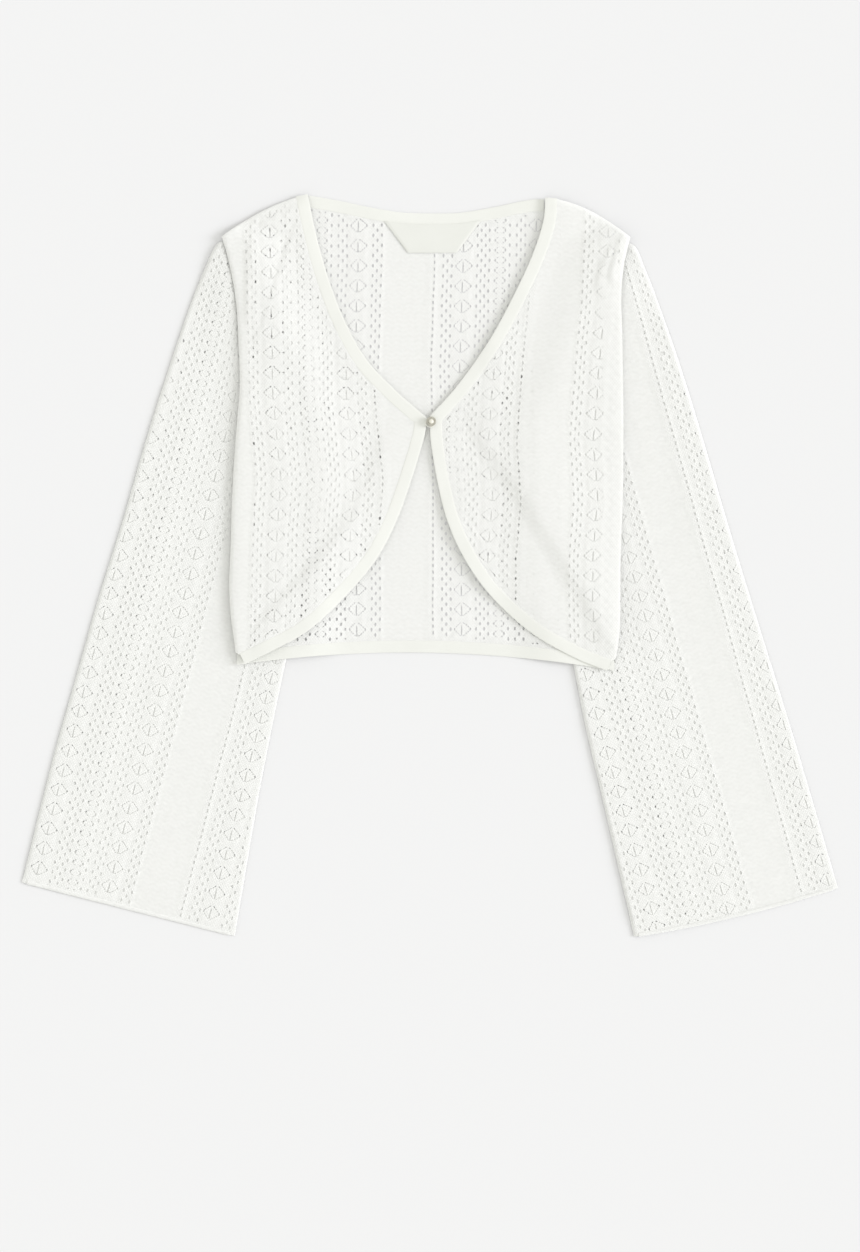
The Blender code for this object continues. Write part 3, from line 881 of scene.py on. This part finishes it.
def tint(tree, shader, scale, tones):
    """A slow uneven change of colour."""
    noise = noise_in_space(tree, scale, TINT_DETAIL)
    colour_between(tree, shader, noise, TINT_RANGE, (tones.deep, tones.light))


def knit_bump(tree, shader, across, along, strength, distance):
    """Small stitches: waves across and along the cloth's own sheet, and the yarn's fuzz."""
    x, y = cloth_place(tree)
    first = maths(tree, "SINE", maths(tree, "MULTIPLY", x, TWO_PI * MAP_UNIT / across))
    second = maths(tree, "SINE", maths(tree, "MULTIPLY", y, TWO_PI * MAP_UNIT / along))
    fuzz = noise_in_space(tree, FINE_FUZZ_SCALE, FUZZ_DETAIL)
    total = maths(tree, "ADD", maths(tree, "MULTIPLY", first, second), fuzz)
    bump(tree, shader, total, strength, distance)


def paint_stitch_shade(tree, shader):
    """Painted light and shade of fine stitches in the lace's colour: crossing lines, and chevrons in
    the dense zone.
    """
    x, y = cloth_place(tree)
    u = maths(tree, "MULTIPLY", x, MAP_UNIT)
    v = maths(tree, "MULTIPLY", y, MAP_UNIT)
    a = maths(tree, "MULTIPLY", u, TWO_PI / STITCH[0])
    b = maths(tree, "MULTIPLY", v, TWO_PI / STITCH[1])
    up = maths(tree, "SINE", maths(tree, "ADD", a, b))
    down = maths(tree, "SINE", maths(tree, "SUBTRACT", a, b))
    net = maths(tree, "MULTIPLY", maths(tree, "ADD", up, down), 0.5)
    slope = maths(tree, "MULTIPLY", maths(tree, "PINGPONG", u, RIPPLE[0]), RIPPLE_SLOPE / RIPPLE[0])
    phase = maths(tree, "ADD", maths(tree, "DIVIDE", v, RIPPLE[1]), slope)
    ripple_shade = maths(tree, "SINE", maths(tree, "MULTIPLY", phase, TWO_PI))
    place = maths(tree, "FRACT", maths(tree, "DIVIDE", u, REPEAT))
    dense = maths(tree, "LESS_THAN", place, DENSE_WIDTH / REPEAT)
    mix = tree.nodes.new("ShaderNodeMix")
    tree.links.new(dense, mix.inputs[0])
    tree.links.new(net, mix.inputs[2])
    tree.links.new(maths(tree, "MULTIPLY", ripple_shade, RIPPLE_SHARE), mix.inputs[3])
    noise = noise_in_space(tree, FUZZ_SCALE, FUZZ_DETAIL)
    pattern = maths(tree, "MULTIPLY", mix.outputs[0], PAINTED_SHADE_SHARE)
    fuzz = maths(tree, "MULTIPLY", maths(tree, "SUBTRACT", noise, 0.5), FUZZ_SHARE)
    total = maths(tree, "ADD", maths(tree, "ADD", pattern, fuzz), 0.5)
    # The colour carries the painted stitch shade and highlight, and the fuzz's random tone.
    colour_between(tree, shader, total, (0.0, 1.0), (LACE_SHADE_AND_FUZZ_DARK, LACE_LIGHT))
    bump(tree, shader, total, *LACE_BUMP)


def cloth_materials():
    lace, tree, shader = new_material("lace_yarn", LACE_LIGHT, 0.9, 0.1)
    paint_stitch_shade(tree, shader)
    let_light_through(tree, shader, LACE_PASSES, LACE_LIGHT)
    tape, tree, shader = new_material("tape_knit", TAPE.plain, 0.85, 0.1)
    tint(tree, shader, 20.0, TAPE)
    knit_bump(tree, shader, 0.9, 1.1, 0.25, 0.0002)
    label, tree, shader = new_material("label_weave", LABEL.plain, 0.7, 0.05)
    tint(tree, shader, 30.0, LABEL)
    knit_bump(tree, shader, 0.5, 0.5, 0.12, 0.0001)
    return lace, tape, label


def small_materials():
    rim, tree, shader = new_material("pearl_rim", RIM.plain, 0.35)
    set_inputs(shader, Specular_IOR_Level=0.5)
    tint(tree, shader, 260.0, RIM)
    face, tree, shader = new_material("pearl_face", FACE.plain, 0.2)
    set_inputs(shader, Specular_IOR_Level=0.6, Coat_Weight=0.6, Coat_Roughness=0.08)
    tint(tree, shader, 260.0, FACE)
    thread, tree, shader = new_material("loop_thread", THREAD.plain, 0.7, 0.1)
    tint(tree, shader, 700.0, THREAD)
    floor = new_material("floor_paper", FLOOR_COLOUR, 0.95)[0]
    return rim, face, thread, floor


def wear(piece, material):
    piece.data.materials.clear()
    piece.data.materials.append(material)
    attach(piece, "root")


def dress(piece, material, node):
    """Gives a piece its material, and hides the solid that it replaces."""
    wear(piece, material)
    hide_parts(node)
    return piece


# Panels

SHEET_LIFT = 0.6 * WALL  # from a front's underside to its lace
BACK_LIFT = 0.45
BACK_SWELL = Drift(0.12, 70.0)
COVER_FROM = 1.5  # how far inside a front's finished edge the back starts to rise
COVER_RAMP = 6.0
COVER_SIDE_RAMP = 3.0
COVER_LIFT = 0.05
LACE_RAMP = 2.5  # how far inside a front's lace it comes up to HIDDEN_GAP
SIDE_STRIP = 18.0
SIDE_STRIP_TOP = 285.0
HIDDEN_GAP = 0.34  # from a layer to the one that lies close under it
BACK_CLOSE = ([400.0, 295.0, 185.7, 100.0, -100.0], [5.0, 4.3, 1.0, 2.6, 2.8])
CLOSE_LINE = {
    "left": ([360.0, 162.0, 138.2, 81.2, 33.7, -100.0], [-56.0, -52.2, -50.3, -44.6, -48.4, -52.0]),
    "right": (
        [360.0, 252.2, 195.2, 157.2, 119.2, 62.2, 5.2, -32.8, -100.0],
        [99.0, 94.0, 88.4, 85.5, 82.6, 86.4, 81.7, 81.7, 84.0],
    ),
}
SLEEVE_COLUMN = {
    "left": ((-180.5, -113.5), (-0.250, -0.968)),
    "right": ((277.4, -42.3), (0.270, -0.963)),
}
SIDE_ROLL = 4.0  # how far a side edge takes to rise to its full height
SIDE_DROP = {"left": 1.2, "right": 0.12}  # and how far down it comes
TOP_ROLL = 2.0
TOP_DROP = 0.8
SLEEVE_ROLL = 2.4
SLEEVE_FOLD = 0.75  # the height of its folds
SLEEVE_HEIGHT = {"left": (1.8, 1.1), "right": (1.1, 2.8)}  # at its outer and its inner fold
SLEEVE_SWELL = Drift(0.12, 90.0)
SEWN_LIFT = 1.9  # its height beside the body
SEWN_HEIGHT = {"left": 2.0, "right": 0.6}  # how much it stands up beside the armhole's top
SEWN_FROM, SEWN_RAMP = 140.0, 130.0
BESIDE_RAMP = 42.0  # how far from the body it lies at its own height
FREE_FROM, FREE_RAMP = -60.0, 50.0  # and further down it does so everywhere
MOST_UNDER_BODY = 2.0
BODY_END = -92.0
CUFF_SHARE, CUFF_GAIN = 0.7, 0.3  # shares of its height at the cuff, and gained from there
CUFF_RAMP = 25.0
UNDER_GAP = 0.3  # from the sleeve's upper layer to its lower one
UNDER_LEAST = 0.2
UNDER_RELIEF = 0.3
UNDER_ROWS = 4  # how far the lower layer's lace is moved along and across
UNDER_SLIDE = 61.0
FRONT_CHART_TOP = 360.0
BACK_CHART_TOP = 289.75
BACK_U, BACK_V = (-170, 260), (-90, 400)  # the stretch of chart that covers a panel
FRONT_V, FRONT_MARGIN = (0, 480), 120
SLEEVE_U, SLEEVE_V = (-260, 300), (-520, 420)
BODY_DOWN = Drift(0.9, 90.0)  # how unevenly the lace's columns and rows run
BODY_ACROSS = Drift(0.5, 45.0)
SLEEVE_DOWN = Drift(0.8, 80.0)
SLEEVE_ACROSS = Drift(0.5, 60.0)
DRIFT_OFFSET = 50  # so that both don't run alike
BACK_SWELL_SEED = SEED + 3
SLEEVE_SWELL_SEED = SEED + 5
FRONT_SEED = {"left": SEED + 11, "right": SEED + 17}
BACK_SEED = SEED + 23
SLEEVE_SEED = {"left": SEED + 31, "right": SEED + 37}


def close_at(table, y):
    ys = np.array(table[0])[::-1]
    xs = np.array(table[1])[::-1]
    return np.interp(y, ys, xs)


def upright(table, top, turn, seed):
    """Places a chart whose columns run down the body. turn is -1 where the chart is mirrored."""

    def place(u, v):
        y = top - v + wander(BODY_DOWN, u, v, seed)
        across = wander(BODY_ACROSS, u + DRIFT_OFFSET, v, seed + 1)
        return close_at(table, y) + turn * (u - CLOSE_COLUMN) + across, y

    return place


def slanted(column, seed, slide=0.0):
    """Places a chart whose columns run down a sleeve."""
    (x0, y0), (tx, ty) = column

    def place(u, v):
        across = u - CLOSE_COLUMN - slide + wander(SLEEVE_ACROSS, u, v, seed)
        down = v + wander(SLEEVE_DOWN, u, v, seed + 1)
        return x0 + across * -ty + down * tx, y0 + across * tx + down * ty

    return place


def shoulder_line(side, rows):
    xs = np.linspace(rows[0].side_x, rows[0].edge_x, TOP_STEPS)
    return np.stack([xs, shoulder_y(side, rows, xs)], axis=-1)


def front_height(side, rows):
    edge = side_line(rows, SHORT_STEPS)
    shoulder = shoulder_line(side, rows)

    def height(x, y):
        full = front_base(x, y) + SHEET_LIFT
        side_roll = rounded(distance_to(x, y, edge)[0] / SIDE_ROLL)
        top_roll = rounded(distance_to(x, y, shoulder)[0] / TOP_ROLL)
        return full - SIDE_DROP[side] * (1 - side_roll) - TOP_DROP * (1 - top_roll)

    return height


def back_height(x, y):
    """The back lies low where it shows, and close under the fronts where they hide it."""
    own = rise(x, y) + BACK_LIFT + wander(BACK_SWELL, x, y, BACK_SWELL_SEED)
    for side, rows in FRONTS:
        finished = edge_pair(side, rows, BAND_WIDTH)[0]
        lace = front_outline(side, rows)
        edge = side_line(rows, SHORT_STEPS)
        front = in_polygon(x, y, np.concatenate([edge, finished[::-1]]))
        covered = smooth((distance_to(x, y, finished)[0] - COVER_FROM) / COVER_RAMP)
        covered = covered * smooth(distance_to(x, y, edge)[0] / COVER_SIDE_RAMP)
        covered = np.where(front, covered, 0.0)
        own = own + (front_base(x, y) + COVER_LIFT - own) * covered
        inside = in_polygon(x, y, lace)
        away = distance_to(x, y, np.concatenate([lace, lace[:1]]))[0]
        under = front_height(side, rows)(x, y) - HIDDEN_GAP
        own = np.where(inside, own + (under - own) * smooth(away / LACE_RAMP), own)
    return own


def sleeve_top(side, rows):
    outer, cuff, inner = sleeve_lines(side, rows)

    def height(x, y):
        to_outer, to_inner = distance_to(x, y, outer)[0], distance_to(x, y, inner)[0]
        roll = rounded(to_outer / SLEEVE_ROLL) * rounded(to_inner / SLEEVE_ROLL)
        at_outer, at_inner = SLEEVE_HEIGHT[side]
        across = to_outer / np.maximum(to_outer + to_inner, LEAST_ACROSS)
        swell = wander(SLEEVE_SWELL, x, y, SLEEVE_SWELL_SEED)
        lift = at_outer + (at_inner - at_outer) * across + swell
        lift = lift + crease_height(SLEEVE_CREASES, x, y)
        beside = np.abs(x) - body_half(x, y)
        sewn = SEWN_LIFT + SEWN_HEIGHT[side] * smooth((y - SEWN_FROM) / SEWN_RAMP)
        pressed = sewn + (lift - sewn) * smooth(beside / BESIDE_RAMP)
        lift = pressed + (lift - pressed) * smooth((FREE_FROM - y) / FREE_RAMP)
        lift = np.where(under_body(x, y), np.minimum(lift, MOST_UNDER_BODY), lift)
        cuff_away = distance_to(x, y, cuff)[0]
        lift = lift * (CUFF_SHARE + CUFF_GAIN * smooth(cuff_away / CUFF_RAMP))
        return SLEEVE_FOLD + (lift - SLEEVE_FOLD) * roll

    return height


def body_half(x, y):
    """How far the body's side edge lies from the middle, on the side that x is on."""
    left = side_line(LEFT_FRONT, SHORT_STEPS)[::-1]
    right = side_line(RIGHT_FRONT, SHORT_STEPS)[::-1]
    at_left = -np.interp(y, left[:, 1], left[:, 0])
    at_right = np.interp(y, right[:, 1], right[:, 0])
    return np.where(x < 0, at_left, at_right)


def under_body(x, y):
    return (np.abs(x) < body_half(x, y)) & (y > BODY_END)


def side_strip(x, y):
    """The plain knit along the right front's side seam."""
    return (body_half(x, y) - x < SIDE_STRIP) & (y < SIDE_STRIP_TOP)


def make_front(side, rows, table, material):
    outline = front_outline(side, rows)
    place = upright(table, FRONT_CHART_TOP, -1, FRONT_SEED[side])
    xs = outline[:, 0]
    u_range = (CLOSE_COLUMN - xs.max() - FRONT_MARGIN, CLOSE_COLUMN - xs.min() + FRONT_MARGIN)
    height = front_height(side, rows)
    plain = side_strip if side == "right" else None
    name = f"front_{side}_lace"
    piece = lace_sheet(name, outline, u_range, FRONT_V, place, height, plain=plain)
    return dress(piece, material, f"front_{side}")


def make_back(material):
    place = upright(BACK_CLOSE, BACK_CHART_TOP, 1, BACK_SEED)
    piece = lace_sheet("back_lace", back_outline(), BACK_U, BACK_V, place, back_height)
    return dress(piece, material, "back_panel")


def make_sleeve(side, rows, column, material):
    outline = sleeve_outline(side, rows)
    seed = SLEEVE_SEED[side]
    top_height = sleeve_top(side, rows)

    def under_height(x, y):
        return np.maximum(UNDER_LEAST, top_height(x, y) - UNDER_GAP)

    top = lace_sheet(
        f"sleeve_{side}_top", outline, SLEEVE_U, SLEEVE_V, slanted(column, seed), top_height
    )
    under = lace_sheet(
        f"sleeve_{side}_under",
        outline,
        SLEEVE_U,
        SLEEVE_V,
        slanted(column, seed + 3, slide=UNDER_SLIDE),
        under_height,
        row_shift=UNDER_ROWS,
        thick=UNDER_RELIEF,
    )
    piece = join(f"sleeve_{side}_lace", [top, under])
    return dress(piece, material, f"sleeve_{side}")


# Trims

# A tape's section, from its inner edge (across 0) to its finished edge (1): underside and top.
Section = namedtuple("Section", "across low high")
BAND_PROFILE = rows_of(
    Section,
    (0.00, 0.4, 0.86),
    (0.05, 0.3, 0.98),
    (0.15, 0.2, 1.04),
    (0.40, 0.2, 1.06),
    (0.65, 0.2, 1.06),
    (0.86, 0.2, 1.04),
    (0.95, 0.2, 0.98),
    (1.00, 0.5, 0.84),
)
FLAT_PROFILE = [Section(p.across, max(0.1, p.low - 0.1), p.high - 0.15) for p in BAND_PROFILE]
BAND_TOP_LIFT = 0.4  # a front band comes down to this at the shoulder
BAND_TOP_SHARE = 0.45
BAND_TOP_RAMP = 5.0
NECK_STEPS = 90
HEM_STEPS = 120


def make_front_band(side, rows, material):
    outer, inner = edge_pair(side, rows, BAND_WIDTH)
    shoulder = shoulder_line(side, rows)

    def base(x, y):
        low = rise(x, y) + BAND_TOP_LIFT
        full = front_base(x, y)
        away = distance_to(x, y, shoulder)[0]
        return low + (full - low) * rounded(BAND_TOP_SHARE + away / BAND_TOP_RAMP)

    piece = strip_solid(f"front_band_{side}_tape", outer, inner, base, BAND_PROFILE)
    return dress(piece, material, f"front_band_{side}")


def make_neck_band(material):
    xs = np.linspace(NECK_LINE[0].x, NECK_LINE[-1].x, NECK_STEPS)
    outer = np.stack([xs, neck_y(xs)], axis=-1)
    inner = outer - np.array([0, BAND_WIDTH])
    piece = strip_solid("neck_band_tape", outer, inner, rise, FLAT_PROFILE)
    return dress(piece, material, "neck_band")


def make_hem_band(material):
    inner = hem_line(HEM_STEPS) - np.array([0, SEAM])
    outer = inner - np.array([0, BAND_WIDTH])
    piece = strip_solid("hem_band_tape", outer, inner, rise, FLAT_PROFILE)
    return dress(piece, material, "hem_band")


LABEL_ROWS, LABEL_COLUMNS = 18, 40
LABEL_TUCK = 1.0  # how far its top runs on under the neck band
LABEL_RIM = 1.5  # how many cells its edges take to rise
LABEL_LOW = 1.15
LABEL_THICK = 0.5
LABEL_WAVE = 0.12
LABEL_UNDERSIDE = 0.95


def label_point(i, j, upper):
    """A point of the label, in row i from the top and column j from the left."""
    down, t = i / LABEL_ROWS, j / LABEL_COLUMNS
    top_x = LABEL_TOP_X[0] + (LABEL_TOP_X[1] - LABEL_TOP_X[0]) * t
    foot_x = LABEL_FOOT_X[0] + (LABEL_FOOT_X[1] - LABEL_FOOT_X[0]) * t
    top_y = float(neck_y(top_x)) - BAND_WIDTH + LABEL_TUCK
    x = top_x + (foot_x - top_x) * down
    y = top_y + (LABEL_FOOT_Y - top_y) * down
    to_edge = min(LABEL_ROWS - i, j, LABEL_COLUMNS - j) / LABEL_RIM
    rim = max(0.0, min(1.0, to_edge))
    z = LABEL_LOW + (LABEL_THICK * rim**0.5 + LABEL_WAVE * math.sin(2.2 * t + 3 * down))
    return x, y, z if upper else LABEL_UNDERSIDE


def make_label(material):
    rows, across = LABEL_ROWS, LABEL_COLUMNS
    points = [
        label_point(i, j, upper)
        for upper in (True, False)
        for i in range(rows + 1)
        for j in range(across + 1)
    ]
    uvs = np.array(points)[:, :2] * UV_SCALE
    wide = across + 1
    half = (rows + 1) * wide
    faces = []
    for i in range(rows):
        for j in range(across):
            a = i * wide + j
            faces.append((a, a + wide, a + wide + 1, a + 1))
            faces.append((half + a, half + a + 1, half + a + wide + 1, half + a + wide))
    rim = list(range(across))
    rim += [i * wide + across for i in range(rows)]
    rim += [rows * wide + j for j in range(across, 0, -1)]
    rim += [i * wide for i in range(rows, 0, -1)]
    for a, b in zip(rim, rim[1:] + rim[:1]):
        faces.append((a, b, half + b, half + a))
    piece = add_object("neck_label_patch", points, faces, uvs)
    fix_normals(piece)
    return dress(piece, material, "neck_label")


# The button: its radius and height, up its shank and its rim, and over its domed face.
SHANK_PROFILE = [(1.9, 0.0), (1.9, 1.3)]
EDGE_PROFILE = [(3.8, 1.4), (4.3, 1.6), (4.6, 2.0), (4.6, 2.5), (4.4, 2.9), (4.0, 3.1)]
RIM_PROFILE = SHANK_PROFILE + EDGE_PROFILE + [(3.4, 3.0), (2.6, 2.9), (0.4, 2.9)]
FACE_PROFILE = [(0.6, 2.7), (2.3, 2.8), (2.35, 3.2), (2.1, 3.8), (1.6, 4.15), (0.9, 4.35), (0.3, 4.4)]
BUTTON_LIFT = 2.4  # from the front's underside to the button's foot
LOOP_LIFT = 0.6  # and from there to the loop
LOOP_RADIUS = 4.3
LOOP_THREAD = 0.55
LOOP_START, LOOP_TURN = 165, 330  # degrees
LOOP_STEPS = 40


def button_place():
    corner = RIGHT_FRONT[BUTTON_ROW]
    return corner.edge_x + BUTTON_OFFSET[0], corner.edge_y + BUTTON_OFFSET[1]


def make_button(rim_material, face_material):
    x, y = button_place()
    foot = float(front_base(np.array(x), np.array(y))) + BUTTON_LIFT
    rim = lathe("button_rim", RIM_PROFILE, (x, y, foot))
    face = lathe("button_face", FACE_PROFILE, (x, y, foot))
    wear(rim, rim_material)
    dress(face, face_material, "button")


def make_loop(material):
    x, y = button_place()
    x, y = x + LOOP_OFFSET[0], y + LOOP_OFFSET[1]
    z = float(front_base(np.array(x), np.array(y))) + BUTTON_LIFT + LOOP_LIFT
    curve = bpy.data.curves.new("button_loop_thread", "CURVE")
    curve.dimensions = "3D"
    curve.bevel_depth = LOOP_THREAD * MM
    curve.bevel_resolution = 3
    curve.use_fill_caps = True
    path = curve.splines.new("POLY")
    path.points.add(LOOP_STEPS)
    for i, point in enumerate(path.points):
        angle = math.radians(LOOP_START + LOOP_TURN * i / LOOP_STEPS)
        px, py = x + LOOP_RADIUS * math.cos(angle), y + LOOP_RADIUS * math.sin(angle)
        point.co = (px * MM, py * MM, z * MM, 1.0)
    dress(add_to_scene("button_loop_thread", curve), material, "button_loop")


CUFF_TOP_PROFILE = rows_of(
    Section,
    (0.0, -0.4, 0.3),
    (0.2, -0.5, 0.8),
    (0.7, -0.5, 0.9),
    (1.0, -0.2, 0.3),
)
CUFF_LOW_PROFILE = rows_of(Section, (0.0, -0.2, 0.4), (0.5, -0.4, 0.6), (1.0, -0.2, 0.3))
CUFF_TOP_OUT, CUFF_LOW_OUT = 0.6, 0.4  # how far a cuff's hem stands out past the lace
CUFF_WIDTH = 3.0
CUFF_LOW_HEIGHT = 0.5
CUFF_AIM = 8  # how many points back along its folds the sleeve's direction is taken from


def cuff_floor(x, y):
    return np.full(np.broadcast(x, y).shape, CUFF_LOW_HEIGHT)


def make_cuff(side, rows, material):
    """The narrow plain hem of a sleeve, round both of its layers."""
    outer, cuff, inner = sleeve_lines(side, rows)
    down = cuff[len(cuff) // 2] - (outer[-CUFF_AIM] + inner[-CUFF_AIM]) / 2
    down /= np.linalg.norm(down)
    cuff = cuff[1:-1]
    end = cuff - down * CUFF_WIDTH
    top = sleeve_top(side, rows)
    upper = strip_solid(f"cuff_{side}_upper", cuff + down * CUFF_TOP_OUT, end, top, CUFF_TOP_PROFILE)
    lower = strip_solid(
        f"cuff_{side}_lower", cuff + down * CUFF_LOW_OUT, end, cuff_floor, CUFF_LOW_PROFILE
    )
    piece = join(f"cuff_{side}_hem", [upper, lower])
    wear(piece, material)
    return piece


# The picture

SCALE = 0.95  # millimetres for each pixel of the picture
PICTURE = (860, 1252)
ORIGIN_PIXEL = (430.0, 565.5)
CAMERA_HEIGHT = 3200.0
SENSOR = 36.0
SIGHT = 50.0  # how far the camera sees, in metres
FLOOR_HALF = 6.0  # in metres
FLOOR_DROP = 0.0002  # in metres
SUN_ELEVATION = 22.0
SUN_AZIMUTH = 3.0  # from +X towards +Y
SUN_STRENGTH = 1.80
SUN_SOFTNESS = 24.0
SKY_STRENGTH = 0.919
SUN_COLOUR = (1.0, 0.998, 1.06)
SKY_COLOUR = (1.0, 1.001, 0.962)


def make_camera():
    centre_y = (ORIGIN_PIXEL[1] - PICTURE[1] / 2) * SCALE
    centre_x = (PICTURE[0] / 2 - ORIGIN_PIXEL[0]) * SCALE
    data = bpy.data.cameras.new("camera")
    data.sensor_fit = "VERTICAL"
    data.sensor_height = SENSOR
    data.lens = SENSOR * CAMERA_HEIGHT / (PICTURE[1] * SCALE)
    data.clip_end = SIGHT
    camera = add_to_scene("camera", data)
    camera.location = (centre_x * MM, centre_y * MM, CAMERA_HEIGHT * MM)
    bpy.context.scene.camera = camera


def make_floor(material):
    mesh = bpy.data.meshes.new("floor")
    corners = [(x * FLOOR_HALF, y * FLOOR_HALF, 0) for x, y in ((-1, -1), (1, -1), (1, 1), (-1, 1))]
    mesh.from_pydata(corners, [], [(0, 1, 2, 3)])
    mesh.materials.append(material)
    floor = add_to_scene("floor", mesh)
    floor.location = (0, 0, -FLOOR_DROP)


def make_light():
    data = bpy.data.lights.new("window", "SUN")
    data.energy = SUN_STRENGTH
    data.color = SUN_COLOUR
    data.angle = math.radians(SUN_SOFTNESS)
    sun = add_to_scene("window", data)
    sun.rotation_euler = (0, math.radians(90 - SUN_ELEVATION), math.radians(SUN_AZIMUTH))
    world = bpy.data.worlds.new("sky")
    world.use_nodes = True
    background = world.node_tree.nodes["Background"]
    set_inputs(background, Color=(*SKY_COLOUR, 1.0), Strength=SKY_STRENGTH)
    bpy.context.scene.world = world
    bpy.context.scene.view_settings.view_transform = "Standard"
    bpy.context.scene.view_settings.look = "None"
    bpy.context.scene.view_settings.exposure = 0.0


def main():
    lace, tape, label = cloth_materials()
    rim, face, thread, paper = small_materials()
    make_camera()
    make_floor(paper)
    make_light()
    back = make_back(lace)
    fronts = [make_front(side, rows, CLOSE_LINE[side], lace) for side, rows in FRONTS]
    sleeves = [make_sleeve(side, rows, SLEEVE_COLUMN[side], lace) for side, rows in SLEEVES]
    cuffs = [make_cuff(side, rows, lace) for side, rows in SLEEVES]
    neck = make_neck_band(tape)
    hem = make_hem_band(tape)
    bands = [make_front_band(side, rows, tape) for side, rows in FRONTS]
    patch = make_label(label)
    make_button(rim, face)
    make_loop(thread)
    for (side, rows), sleeve, cuff in zip(SLEEVES, sleeves, cuffs):
        sleeve_outline(side, rows)
    back_outline()
    for (side, rows), front, band in zip(FRONTS, fronts, bands):
        front_outline(side, rows)


main()
